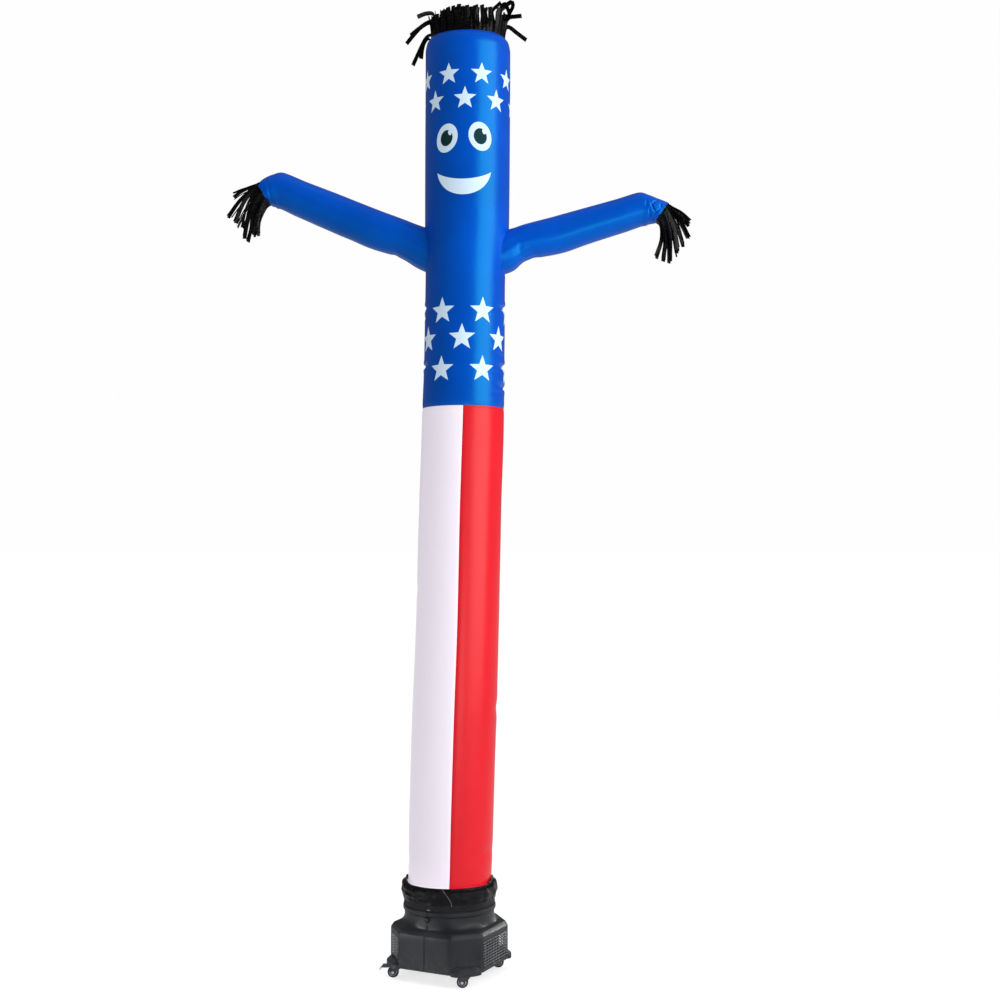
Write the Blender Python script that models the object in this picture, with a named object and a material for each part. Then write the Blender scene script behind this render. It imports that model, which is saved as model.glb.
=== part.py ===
# Inflatable air dancer, ten foot class, with the wheeled blower that its collar fits over.
# Metres, +Z up. The dancer faces -Y and +X is the viewer's right. The origin is on the floor,
# below the middle of the whole object's box. Azimuths are degrees from -Y towards +X.

import math

import bmesh
import bpy
from mathutils import Vector

# Driving sizes of the whole
AXIS_X = -0.042            # the blower stands this far from the middle of the arms' reach
GAP = 0.0003               # clearance between neighbouring pieces
CLOTH = 0.002              # built thickness of the nylon

# Heights of the cloth tube
LEG_BOTTOM = 0.3132
WAIST = 1.914
HEAD_RIM = 3.172
ARM_ZONE = (2.25, 2.72)    # the stretch of the body that the arms are trimmed against

# The tube's outer radius and the sideways lean of its centre line, by height
TUBE_TABLE = [
    # height, radius, lean
    (0.3132, 0.1507, 0.000),
    (0.3192, 0.1412, 0.001),
    (0.5200, 0.1434, 0.006),
    (0.8600, 0.1434, 0.016),
    (1.2000, 0.1410, 0.028),
    (1.5600, 0.1399, 0.036),
    (1.9140, 0.1388, 0.047),
    (2.1000, 0.1362, 0.051),
    (2.3600, 0.1352, 0.054),
    (2.5300, 0.1425, 0.060),
    (2.7000, 0.1437, 0.061),
    (3.1250, 0.1437, 0.063),
    (3.1560, 0.1385, 0.063),
    (3.1720, 0.1275, 0.063),
]

# Soft creases that the wind puts across the tube
CREASE_TABLE = [
    # height, azimuth, half spread, half height, depth
    (2.252, 90.0, 62.0, 0.020, 0.0085),
    (2.254, -90.0, 48.0, 0.020, 0.0065),
    (2.055, 95.0, 66.0, 0.022, 0.0095),
    (2.055, -85.0, 52.0, 0.020, 0.0080),
    (1.984, 80.0, 55.0, 0.020, 0.0070),
    (2.394, 75.0, 34.0, 0.018, 0.0065),
    (1.300, -100.0, 45.0, 0.030, 0.0030),
    (0.900, 100.0, 45.0, 0.035, 0.0030),
    (0.420, 60.0, 50.0, 0.030, 0.0035),
]
TORSO_COLUMNS = 32
TORSO_PITCH = 0.11         # spacing of the torso's plain rows
LEG_PITCH = 0.23
PANEL_COLUMNS = 8
PANEL_COUNT = 4
SEAM_TURN = 4.2            # the legs' seams lie this far round from straight ahead

# Arms: one row for each section, from inside the body to the open hand.
# reach is measured sideways from the blower's axis, rise is the sleeve's direction there.
ARM_TABLES = {
    "left": [
        # reach, height, half height, half depth, rise
        (-0.0150, 2.4230, 0.0760, 0.0700, 20.0),
        (0.0785, 2.4567, 0.0705, 0.0640, 21.0),
        (0.1513, 2.4905, 0.0630, 0.0600, 21.0),
        (0.2499, 2.5257, 0.0655, 0.0620, 21.0),
        (0.4063, 2.5913, 0.0632, 0.0620, 21.0),
        (0.5049, 2.6325, 0.0612, 0.0600, 15.0),
        (0.5797, 2.6639, 0.0611, 0.0600, 6.4),
        (0.6010, 2.6629, 0.0546, 0.0605, -2.7),
        (0.6203, 2.6588, 0.0483, 0.0600, -14.5),
        (0.6358, 2.6515, 0.0401, 0.0570, -30.0),
    ],
    "right": [
        (0.1050, 2.4255, 0.0740, 0.0680, 12.0),
        (0.1965, 2.4480, 0.0705, 0.0640, 13.0),
        (0.2506, 2.4747, 0.0595, 0.0580, 13.0),
        (0.3723, 2.5030, 0.0627, 0.0600, 14.0),
        (0.4573, 2.5288, 0.0597, 0.0600, 16.0),
        (0.5797, 2.5641, 0.0571, 0.0580, 14.0),
        (0.6509, 2.5851, 0.0564, 0.0560, 7.1),
        (0.6749, 2.5832, 0.0486, 0.0570, 0.0),
        (0.6973, 2.5783, 0.0415, 0.0560, -11.5),
        (0.7217, 2.5720, 0.0372, 0.0520, -33.0),
    ],
}
ARM_SIDE = {"left": -1.0, "right": 1.0}
ARM_COLUMNS = 18
GATHER_WAVES = 6           # puckers round the hand's hem
GATHER_DEPTH = 0.05
HOLE_MARGIN = 0.001        # the body's hole is this much narrower than the sleeve is inside
HOLE_ROWS = 3              # sections that the hole's cutter runs through

# Fringes of loose nylon strips
STRIP = 0.0013             # thickness of a strip and of the tape that holds it
HEAD_STRIPS = 36
HEAD_STRIP_LENGTH = 0.112
HEAD_FRONT_SHORTER = 0.024 # the strips in front are this much shorter than those at the sides
HEAD_TAPE_TOP = 3.1735
HEAD_TAPE_HEIGHT = 0.018
HEAD_TAPE_RADIUS = 0.1250
HAND_STRIPS = 17
HAND_STRIP_LENGTH = 0.128
HAND_TAPE_SHARE = 0.42     # the tape's depth, as a part of the way to the next section
STRIP_SHARE = 0.62         # part of the tape's length that a strip takes up
STRIP_PARTS = 3            # straight stretches in one strip
HAND_TAPE_CLEAR = 5.0 * GAP

# Strips of the head fringe that lean or fall over the rim
FALLEN_STRIPS = [
    # number, length, first lean, bend
    (2, 0.105, 4.0, 14.0),
    (7, 0.092, 22.0, 50.0),
    (8, 0.104, 14.0, 76.0),
    (9, 0.112, -4.0, 128.0),
    (10, 0.086, 30.0, 92.0),
    (25, 0.112, 22.0, 116.0),
    (26, 0.124, 6.0, 122.0),
    (27, 0.092, 14.0, 66.0),
    (28, 0.104, 8.0, 26.0),
]

# Collar that grips the blower's hook tape
CUFF_THICKNESS = 0.0018
CUFF_TABLE = [
    # height, outer radius, ripple
    (0.2600, 0.1566, 0.0006),
    (0.2690, 0.1571, 0.0008),
    (0.2840, 0.1634, 0.0011),
    (0.3060, 0.1634, 0.0011),
    (0.3140, 0.1532, 0.0000),
    (0.3178, 0.1536, 0.0004),
]
CUFF_WAVES = 22
CUFF_STEP = 6.0            # degrees for one column
CUFF_LAP = 30.0            # degrees by which the collar's end passes under its start
CUFF_EDGE_TOP = -6.4       # azimuths of the slanting outer end
CUFF_EDGE_BOTTOM = 5.4
CUFF_LIFT = 0.0023         # the outer layer rides this much higher over the lap
CUFF_LIFT_END = 30.0       # degrees past the lap where the outer layer is down again
CUFF_LIFT_RUN = 22.0
COVERED_START = 345.0      # from here the inner end lies flat under the outer one
COVERED_RUN = 12.0

# Blower housing: a square with cut corners, set askew to the dancer's front
BLOWER_TURN = -23.5        # azimuth of the front wall, where the two halves meet
FLAT_REACH = 0.175         # from the axis to a wide wall
CORNER_REACH = 0.1915      # from the axis to a cut corner's wall
BASE_BOTTOM = 0.045
WALL = 0.003
NECK_RADIUS = 0.1517
HOUSING_OUTER = [
    # height, inset of the octagon, radius, roundness
    (0.0450, 0.0000, 0.1517, 0.0),
    (0.1630, 0.0000, 0.1517, 0.0),
    (0.1760, 0.0190, 0.1517, 0.0),
    (0.1840, 0.0210, 0.1530, 0.6),
    (0.2000, 0.0210, 0.1517, 1.0),
    (0.2210, 0.0210, 0.1517, 1.0),
    (0.2235, 0.0210, 0.1560, 1.0),
    (0.2300, 0.0210, 0.1570, 1.0),
    (0.2375, 0.0210, 0.1560, 1.0),
    (0.2400, 0.0210, 0.1517, 1.0),
    (0.2880, 0.0210, 0.1517, 1.0),
    (0.2900, 0.0210, 0.1572, 1.0),
    (0.2980, 0.0210, 0.1588, 1.0),
    (0.3065, 0.0210, 0.1572, 1.0),
    (0.3095, 0.0210, 0.1545, 1.0),
]
HOUSING_INNER = [
    (0.3095, 0.0210, 0.1528, 1.0),
    (0.3000, 0.0210, 0.1524, 1.0),
    (0.3000, 0.0210, 0.1487, 1.0),
    (0.1980, 0.0240, 0.1487, 1.0),
    (0.1740, 0.0235, 0.1487, 0.3),
    (0.1600, 0.0030, 0.1487, 0.0),
    (0.0450, 0.0030, 0.1487, 0.0),
]
WIDE_STEPS = 6             # columns across a wide wall
CORNER_STEPS = 3           # columns across a cut corner's wall
WIDE_VENT_BOTTOM = 0.056
CORNER_VENT_BOTTOM = 0.068  # clear of the ledge below it
VENT_TOP = 0.142
WIDE_VENT = 0.178          # opening in a wide wall
CORNER_VENT = 0.098        # opening in a cut corner's wall
VENT_ROWS = 6
WIDE_VENT_SLOTS = 6
CORNER_VENT_SLOTS = 2
LEDGE_HALF = 0.050
LEDGE_OUT = 0.021
LEDGE_TOP = 0.066
LEDGE_RIM = 0.054
LEDGE_ROOT = 0.0015        # how far a ledge reaches into the wall
LEDGE_CROWN = 0.30         # how much of a ledge's depth is left at its top
LEDGE_STEPS = 8
WINDOW_DEPTH = 0.02
VENT_UPRIGHT_SHARE = 0.24  # part of a slot's pitch that the upright bar takes
VENT_BAR_SHARE = 0.42      # part of a slot's pitch that the level bar takes

# Rings and trim of the blower
BAND_RADIUS = 0.1540
BAND_BOTTOM = 0.2405
BAND_TOP = 0.2875
GUARD_BOTTOM = 0.3003
GUARD_THICKNESS = 0.003
GUARD_RINGS = [
    # inner radius, outer radius
    (0.052, 0.056),
    (0.083, 0.087),
    (0.114, 0.118),
    (0.1455, 0.1512),
]
GUARD_CAP = 0.024
GUARD_SPOKES = 6
SPOKE_HALF = 1.6           # degrees
BOSS_LOW = 0.2030
BOSS_HIGH = 0.2205
BOSS_OUT = 0.1625
BOSS_HALF = 0.0060

# Casters: the swivels sit under the cut corners
CASTER_CIRCLE = 0.186
CASTER_TRAIL = 0.0105      # the wheel's centre trails to -X
WHEEL_RADIUS = 0.019
WHEEL_SIDES = 20
TYRE_HALF = 0.008
TYRE_INNER = 0.0128
HUB_RADIUS = 0.0125
HUB_HALF = 0.0076
BORE_RADIUS = 0.0034
SHAFT_RADIUS = 0.0029
FORK_HALF = 0.0116
FORK_INNER = 0.0096
FORK_TOP = 0.0432
FORK_ROOF = 0.0405
SWIVEL_RADIUS = 0.0105
NUT_RADIUS = 0.0050
NUT_OUT = 0.0150
TYRE_SHOULDER = 0.0020     # how far the tyre's edge is rounded in
TYRE_EDGE = 0.0018
FORK_EYE = 0.0108          # the fork's roundness at the axle
FORK_FRONT = [(0.0165, FORK_TOP), (0.0150, 0.0350), (0.0075, 0.0270)]
FORK_REAR = [(-0.0212, 0.0330), (-0.0212, FORK_TOP)]
CASTERS = [
    # name, azimuth from the front wall
    ("front", 45.0),
    ("left", -45.0),
    ("right", 135.0),
    ("back", -135.0),
]
BRAKE_CASTER = "left"
PEDAL_PIVOT = (-0.0448, 0.0384)   # sideways from the swivel, and height
PEDAL_EYE = 0.0022         # the pedal's roundness at its pin
BRACKET_ROOT = -0.0215     # the bracket starts just outside the fork
BRACKET_HALF = 0.0105
NOTCH_HALF = 0.0084        # half the width of the bracket's notch for the pedal


def clear_scene():
    for old in list(bpy.data.objects):
        bpy.data.objects.remove(old, do_unlink=True)


def make_material(name, colour, roughness, metallic=0.0):
    material = bpy.data.materials.new(name)
    material.use_nodes = True
    shader = material.node_tree.nodes["Principled BSDF"]
    shader.inputs["Base Color"].default_value = (*colour, 1.0)
    shader.inputs["Roughness"].default_value = roughness
    shader.inputs["Metallic"].default_value = metallic
    return material


def add_object(name, bm, material, sharp=35.0):
    mesh = bpy.data.meshes.new(name)
    bm.normal_update()
    bmesh.ops.recalc_face_normals(bm, faces=bm.faces[:])
    bm.to_mesh(mesh)
    bm.free()
    if material:
        mesh.materials.append(material)
    mesh.shade_smooth()
    mesh.set_sharp_from_angle(angle=math.radians(sharp))
    made = bpy.data.objects.new(name, mesh)
    bpy.context.scene.collection.objects.link(made)
    return made


def add_axis(name, place, parent=None):
    axis = bpy.data.objects.new(name, None)
    axis.empty_display_size = 0.02
    bpy.context.scene.collection.objects.link(axis)
    axis.location = place
    if parent:
        axis.parent = parent
        axis.location = Vector(place) - parent.location
    return axis


def hide_cutter(cutter):
    cutter.hide_render = True
    cutter.display_type = "WIRE"


def add_boolean(target, cutter, operation):
    step = target.modifiers.new(operation.lower() + "_" + cutter.name, "BOOLEAN")
    step.operation = operation
    step.solver = "EXACT"
    step.object = cutter
    hide_cutter(cutter)


def add_wall(target, thickness):
    wall = target.modifiers.new("wall", "SOLIDIFY")
    wall.thickness = thickness
    wall.offset = -1.0
    wall.use_even_offset = True
    wall.use_rim = True


def read_table(table, value, column):
    """Read a column of a table at a height, straight between its rows."""
    if value <= table[0][0]:
        return table[0][column]
    for low, high in zip(table, table[1:]):
        if value <= high[0]:
            share = (value - low[0]) / (high[0] - low[0])
            return low[column] + (high[column] - low[column]) * share
    return table[-1][column]


def bump(distance):
    """A smooth hill: 1 at the middle, 0 from a distance of 1."""
    if abs(distance) >= 1.0:
        return 0.0
    return 0.5 + 0.5 * math.cos(math.pi * distance)


def turn_between(azimuth, middle):
    return (azimuth - middle + 180.0) % 360.0 - 180.0


def polar(azimuth, radius, height, centre_x=AXIS_X):
    angle = math.radians(azimuth)
    return Vector((centre_x + radius * math.sin(angle), -radius * math.cos(angle), height))


def tube_point(height, azimuth, grow=0.0):
    """A point of the cloth tube's outer face, creases included."""
    radius = read_table(TUBE_TABLE, height, 1) + grow
    for crease, middle, spread, half, depth in CREASE_TABLE:
        side = bump(turn_between(azimuth, middle) / spread)
        radius -= depth * side * bump((height - crease) / half)
    lean = read_table(TUBE_TABLE, height, 2)
    return polar(azimuth, radius, height, AXIS_X + lean)


def row_heights(low, high, pitch):
    """Even rows between two heights, with extra ones at table rows and creases."""
    count = max(1, round((high - low) / pitch))
    wanted = [low + (high - low) * i / count for i in range(count + 1)]
    extra = [row[0] for row in TUBE_TABLE]
    for crease in CREASE_TABLE:
        if crease[4] > 0.005:
            extra += [crease[0] - crease[3], crease[0], crease[0] + crease[3]]
    rows = [low, high]
    for height in sorted(height for height in extra if low < height < high):
        if min(abs(height - row) for row in rows) > 0.006:
            rows.append(height)
    for height in wanted:
        if min(abs(height - row) for row in rows) > 0.55 * pitch:
            rows.append(height)
    return sorted(rows)


def loft(bm, rows, ring):
    """Skin a grid of points, each row closed into a ring if asked."""
    grid = [[bm.verts.new(point) for point in row] for row in rows]
    for low, high in zip(grid, grid[1:]):
        count = len(low)
        for i in range(count if ring else count - 1):
            j = (i + 1) % count
            bm.faces.new((low[i], low[j], high[j], high[i]))
    return grid


def capped_loft(rows):
    bm = bmesh.new()
    grid = loft(bm, rows, True)
    bm.faces.new(list(reversed(grid[0])))
    bm.faces.new(grid[-1])
    return bm


def body_rows(heights, grow=0.0):
    step = 360.0 / TORSO_COLUMNS
    return [[tube_point(h, step * i, grow) for i in range(TORSO_COLUMNS)] for h in heights]


def arm_section(side, row, inset=0.0, waves=0.0):
    """The points round one section of a sleeve."""
    reach, height, half_height, half_depth, rise = row
    way = ARM_SIDE[side]
    angle = math.radians(rise)
    centre = Vector((AXIS_X + way * reach, 0.0, height))
    up = Vector((-way * math.sin(angle), 0.0, math.cos(angle)))
    points = []
    for i in range(ARM_COLUMNS):
        turn = 2.0 * math.pi * i / ARM_COLUMNS
        swell = 1.0 + waves * math.cos(GATHER_WAVES * turn)
        tall = (half_height * swell - inset) * math.cos(turn)
        deep = (half_depth * swell - inset) * math.sin(turn)
        points.append(centre + up * tall + Vector((0.0, deep, 0.0)))
    return points


def make_torso(material):
    heights = row_heights(WAIST + 0.5 * GAP, HEAD_RIM, TORSO_PITCH)
    bm = bmesh.new()
    loft(bm, body_rows(heights), True)
    torso = add_object("torso_blue", bm, material)
    add_wall(torso, CLOTH)
    return torso


def make_arm(side, material, torso, core):
    table = ARM_TABLES[side]
    last = len(table) - 1
    rows = []
    for number, row in enumerate(table):
        waves = GATHER_DEPTH * max(0.0, 1.0 - 0.5 * (last - number))
        rows.append(arm_section(side, row, 0.0, waves))
    bm = bmesh.new()
    loft(bm, rows, True)
    arm = add_object("arm_" + side, bm, material)
    add_wall(arm, CLOTH)
    add_boolean(arm, core, "DIFFERENCE")

    # The body's hole is as wide as the sleeve is inside
    sections = [arm_section(side, row, CLOTH + HOLE_MARGIN) for row in table[:HOLE_ROWS]]
    hole = add_object("arm_hole_" + side, capped_loft(sections), None)
    add_boolean(torso, hole, "DIFFERENCE")
    return arm


def make_panel(number, material, name):
    """One quarter of the legs, from the waist seam down into the collar."""
    slant = CLOTH * math.sin(math.radians(45.0 / PANEL_COLUMNS))
    edge = math.degrees((0.5 * GAP + slant) / TUBE_TABLE[2][1])
    first = -90.0 * (number + 1) + SEAM_TURN + edge
    turn = 90.0 - 2.0 * edge
    heights = row_heights(LEG_BOTTOM, WAIST - 0.5 * GAP, LEG_PITCH)
    rows = []
    for height in heights:
        row = [tube_point(height, first + turn * i / PANEL_COLUMNS) for i in range(PANEL_COLUMNS + 1)]
        rows.append(row)
    bm = bmesh.new()
    loft(bm, rows, False)
    panel = add_object(name, bm, material)
    add_wall(panel, CLOTH)
    return panel


def grow_strip(bm, face, side, outward, ways, step):
    """Draw one strip out of a face of the tape, section by section."""
    centre = face.calc_center_median()
    flat = outward
    for way in ways:
        face = bmesh.ops.extrude_discrete_faces(bm, faces=[face])["faces"][0]
        next_centre = centre + way * step
        next_flat = side.cross(way).normalized()
        for vert in face.verts:
            offset = vert.co - centre
            vert.co = next_centre + side * offset.dot(side) + next_flat * offset.dot(flat)
        centre = next_centre
        flat = next_flat


def strip_faces(bm, outer_rows, inner_rows, count):
    """A closed ring of tape. Returns the faces along its free edge, one for each column."""
    total = len(outer_rows[0])
    outer = [[bm.verts.new(p) for p in row] for row in outer_rows]
    inner = [[bm.verts.new(p) for p in row] for row in inner_rows]
    edge_faces = []
    for i in range(total):
        j = (i + 1) % total
        bm.faces.new((outer[0][i], outer[0][j], outer[1][j], outer[1][i]))
        bm.faces.new((inner[0][j], inner[0][i], inner[1][i], inner[1][j]))
        bm.faces.new((inner[0][i], inner[0][j], outer[0][j], outer[0][i]))
        edge_faces.append(bm.faces.new((outer[1][i], outer[1][j], inner[1][j], inner[1][i])))
    bm.normal_update()
    return edge_faces[:2 * count:2]


def uneven_steps(count):
    """Azimuths of a tape's columns: a strip, a space, a strip, a space."""
    pitch = 360.0 / count
    marks = []
    for i in range(count):
        marks += [i * pitch, (i + STRIP_SHARE) * pitch]
    return marks


def head_ways(number):
    """Length and directions of one head strip, as angles outward from upright."""
    shares = [(k + 0.5) / STRIP_PARTS for k in range(STRIP_PARTS)]
    for fallen, length, lean, bend in FALLEN_STRIPS:
        if fallen == number:
            return length, [lean + bend * share for share in shares]
    length = HEAD_STRIP_LENGTH * (0.92 + 0.07 * math.sin(2.4 * number))
    length -= HEAD_FRONT_SHORTER * max(0.0, math.cos(math.tau * number / HEAD_STRIPS))
    lean = 3.0 + 3.0 * math.sin(1.7 * number)
    bend = 7.0 * math.sin(2.9 * number + 1.0)
    return length, [lean + bend * share for share in shares]


def make_head_fringe(material):
    lean = TUBE_TABLE[-1][2]
    marks = uneven_steps(HEAD_STRIPS)
    low = HEAD_TAPE_TOP - HEAD_TAPE_HEIGHT
    bm = bmesh.new()

    def tape_row(radius, height):
        return [polar(mark, radius, height, AXIS_X + lean) for mark in marks]

    inner_radius = HEAD_TAPE_RADIUS - STRIP
    outer_rows = [tape_row(HEAD_TAPE_RADIUS, low), tape_row(HEAD_TAPE_RADIUS, HEAD_TAPE_TOP)]
    inner_rows = [tape_row(inner_radius, low), tape_row(inner_radius, HEAD_TAPE_TOP)]
    faces = strip_faces(bm, outer_rows, inner_rows, HEAD_STRIPS)
    for number, face in enumerate(faces):
        middle = face.calc_center_median()
        outward = Vector((middle.x - AXIS_X - lean, middle.y, 0.0)).normalized()
        side = Vector((0.0, 0.0, 1.0)).cross(outward)
        length, angles = head_ways(number)
        ways = []
        for angle in angles:
            tip = math.radians(angle)
            ways.append(outward * math.sin(tip) + Vector((0.0, 0.0, math.cos(tip))))
        grow_strip(bm, face, side, outward, ways, length / STRIP_PARTS)
    return add_object("fringe_head", bm, material)


def make_hand_fringe(side, material):
    """Strips that hang out of the open end of a sleeve."""
    reach, height, _, _, rise = ARM_TABLES[side][-1]
    way = ARM_SIDE[side]
    angle = math.radians(rise)
    out = Vector((way * math.cos(angle), 0.0, math.sin(angle)))
    centre = Vector((AXIS_X + way * reach, 0.0, height))
    clear = CLOTH + HAND_TAPE_CLEAR
    down = Vector((0.0, 0.0, -1.0))
    marks = uneven_steps(HAND_STRIPS)

    hem = arm_section(side, ARM_TABLES[side][-1], 0.0, GATHER_DEPTH)
    inside = arm_section(side, ARM_TABLES[side][-2], 0.0, 0.5 * GATHER_DEPTH)

    def tape_row(inset, share):
        """Follow the inner face of the sleeve's end, facet by facet."""
        line = []
        for i in range(ARM_COLUMNS):
            around = hem[(i + 1) % ARM_COLUMNS] - hem[i - 1]
            normal = around.cross(inside[i] - hem[i]).normalized()
            if normal.dot(hem[i] - centre) < 0.0:
                normal = -normal
            line.append(hem[i].lerp(inside[i], share) - normal * inset)
        row = []
        for mark in marks:
            place = mark / 360.0 * ARM_COLUMNS
            before = int(place) % ARM_COLUMNS
            after = (before + 1) % ARM_COLUMNS
            row.append(line[before].lerp(line[after], place - int(place)) + out * 2.0 * GAP)
        return row

    bm = bmesh.new()
    outer_rows = [tape_row(clear, HAND_TAPE_SHARE), tape_row(clear, 0.0)]
    inner_rows = [tape_row(clear + STRIP, HAND_TAPE_SHARE), tape_row(clear + STRIP, 0.0)]
    faces = strip_faces(bm, outer_rows, inner_rows, HAND_STRIPS)
    for number, face in enumerate(faces):
        middle = face.calc_center_median() - centre
        outward = (middle - out * middle.dot(out)).normalized()
        along = out.cross(outward).normalized()
        length = HAND_STRIP_LENGTH * (0.92 + 0.13 * math.sin(2.2 * number + 0.6))
        start = (out + outward * (0.30 + 0.12 * math.sin(1.9 * number))).normalized()
        ways = []
        for k in range(STRIP_PARTS):
            droop = 0.62 * (k + 0.35) / STRIP_PARTS
            ways.append((start * (1.0 - droop) + down * droop * 1.25).normalized())
        grow_strip(bm, face, along, outward, ways, length / STRIP_PARTS)
    return add_object("fringe_" + side, bm, material)


def make_cuff(material):
    """The collar: one strip wound once round the tube's foot, its end under its start."""
    columns = int((360.0 + CUFF_LAP) / CUFF_STEP)
    low = CUFF_TABLE[0][0]
    high = CUFF_TABLE[-1][0]
    rows = []
    for height, radius, ripple in CUFF_TABLE:
        share = (height - low) / (high - low)
        start = CUFF_EDGE_BOTTOM + (CUFF_EDGE_TOP - CUFF_EDGE_BOTTOM) * share
        row = []
        for i in range(columns + 1):
            turn = CUFF_STEP * i
            ease = min(1.0, max(0.0, (CUFF_LAP + CUFF_LIFT_END - turn) / CUFF_LIFT_RUN))
            lifted = CUFF_LIFT * (3.0 * ease ** 2 - 2.0 * ease ** 3)
            covered = min(1.0, max(0.0, (turn - COVERED_START) / COVERED_RUN))
            strength = 0.55 + 0.45 * math.sin(math.radians(turn))
            wave = math.sin(math.radians(CUFF_WAVES * turn) + 1.1 * math.sin(math.radians(3.0 * turn)))
            pucker = ripple * strength * wave * (1.0 - ease) * (1.0 - covered)
            row.append(polar(start + turn, radius + lifted + pucker, height))
        rows.append(row)
    bm = bmesh.new()
    loft(bm, rows, False)
    cuff = add_object("cuff_collar", bm, material)
    add_wall(cuff, CUFF_THICKNESS)
    return cuff


def octagon_corners(inset):
    """Corners of the housing's outline, in order of azimuth from the front wall."""
    flat = FLAT_REACH - inset
    corner = CORNER_REACH - inset
    half = corner * math.sqrt(2.0) - flat
    turn = math.degrees(math.atan2(half, flat))
    reach = math.hypot(half, flat)
    corners = []
    for wall in range(4):
        corners += [(90.0 * wall - turn, reach), (90.0 * wall + turn, reach)]
    return corners


def outline_columns(half_number):
    """Places along the outline for one half: wall number and share along that wall."""
    places = []
    walls = range(4 * half_number, 4 * half_number + 5)
    for order, wall in enumerate(walls):
        wide = wall % 2 == 0
        steps = WIDE_STEPS if wide else CORNER_STEPS
        first = steps // 2 if order == 0 else 0
        last = steps // 2 if order == 4 else steps
        for k in range(first, last + (1 if order == 4 else 0)):
            places.append((wall, k / steps))
    return places


def column_azimuth(place):
    """Azimuth of a column where the housing is round."""
    wall, share = place
    corners = octagon_corners(0.0)
    first = corners[wall % 8][0]
    span = (corners[(wall + 1) % 8][0] - first) % 360.0
    return BLOWER_TURN + first + span * share


def housing_point(place, row, side_shift):
    """A point of the housing on one row, shifted a hair off the parting plane."""
    wall, share = place
    height, inset, radius, roundness = row
    corners = octagon_corners(inset)
    start_turn, start_reach = corners[wall % 8]
    end_turn, end_reach = corners[(wall + 1) % 8]
    start = polar(BLOWER_TURN + start_turn, start_reach, height)
    end = polar(BLOWER_TURN + end_turn, end_reach, height)
    round_point = polar(column_azimuth(place), radius, height)
    return start.lerp(end, share).lerp(round_point, roundness) + side_shift


def face_direction(azimuth):
    return polar(azimuth, 1.0, 0.0, 0.0)


def make_box(name, centre, half_sizes, azimuth):
    """A box whose local Y points along an azimuth."""
    bm = bmesh.new()
    bmesh.ops.create_cube(bm, size=2.0)
    out = face_direction(azimuth)
    along = Vector((0.0, 0.0, 1.0)).cross(out)
    for vert in bm.verts:
        local = vert.co.copy()
        vert.co = centre + along * local.x * half_sizes[0] + out * local.y * half_sizes[1]
        vert.co.z = centre.z + local.z * half_sizes[2]
    return add_object(name, bm, None)


def make_ledge(name, azimuth):
    """A D-shaped shelf with a sloping top that spreads a caster's load into the wall."""
    out = face_direction(azimuth)
    along = Vector((0.0, 0.0, 1.0)).cross(out)
    axis = Vector((AXIS_X, 0.0, 0.0))
    outline = []
    for k in range(LEDGE_STEPS + 1):
        angle = math.pi * k / LEDGE_STEPS
        outline.append((LEDGE_HALF * math.cos(angle), LEDGE_OUT * math.sin(angle) ** 0.8))
    bm = bmesh.new()
    rows = []
    for height, grow in ((BASE_BOTTOM, 1.0), (LEDGE_RIM, 1.0), (LEDGE_TOP, LEDGE_CROWN)):
        row = []
        for across, forward in outline:
            reach = CORNER_REACH + (forward * grow if forward > 0.0001 else -LEDGE_ROOT)
            row.append(axis + along * across + out * reach + Vector((0.0, 0.0, height)))
        rows.append(row)
    grid = loft(bm, rows, True)
    bm.faces.new(list(reversed(grid[0])))
    bm.faces.new(grid[-1])
    return add_object(name, bm, None)


def make_housing_half(number, name, material):
    """One moulded half: walls, sloped shoulder, neck, bead and top ring in a closed section."""
    across = face_direction(BLOWER_TURN + 90.0 + 180.0 * number)
    shift = across * (0.5 * GAP)
    rows = HOUSING_OUTER + HOUSING_INNER
    places = outline_columns(number)
    bm = bmesh.new()
    grid = [[bm.verts.new(housing_point(place, row, shift)) for place in places] for row in rows]
    count = len(rows)
    for r in range(count):
        low = grid[r]
        high = grid[(r + 1) % count]
        for i in range(len(places) - 1):
            bm.faces.new((low[i], low[i + 1], high[i + 1], high[i]))
    bm.faces.new([row[0] for row in reversed(grid)])
    bm.faces.new([row[-1] for row in grid])
    half = add_object(name, bm, material)
    first_wall = BLOWER_TURN + 180.0 * number
    for order, turn in enumerate((90.0, 135.0)):
        width = WIDE_VENT if order == 0 else CORNER_VENT
        reach = FLAT_REACH if order == 0 else CORNER_REACH
        low = WIDE_VENT_BOTTOM if order == 0 else CORNER_VENT_BOTTOM
        centre = polar(first_wall + turn, reach, 0.5 * (low + VENT_TOP))
        sizes = (0.5 * width, WINDOW_DEPTH, 0.5 * (VENT_TOP - low))
        window = make_box(name + "_window_" + str(order), centre, sizes, first_wall + turn)
        add_boolean(half, window, "DIFFERENCE")
    for order, turn in enumerate((45.0, 135.0)):
        ledge = make_ledge(name + "_ledge_" + str(order), first_wall + turn)
        add_boolean(half, ledge, "UNION")
    return half


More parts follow.
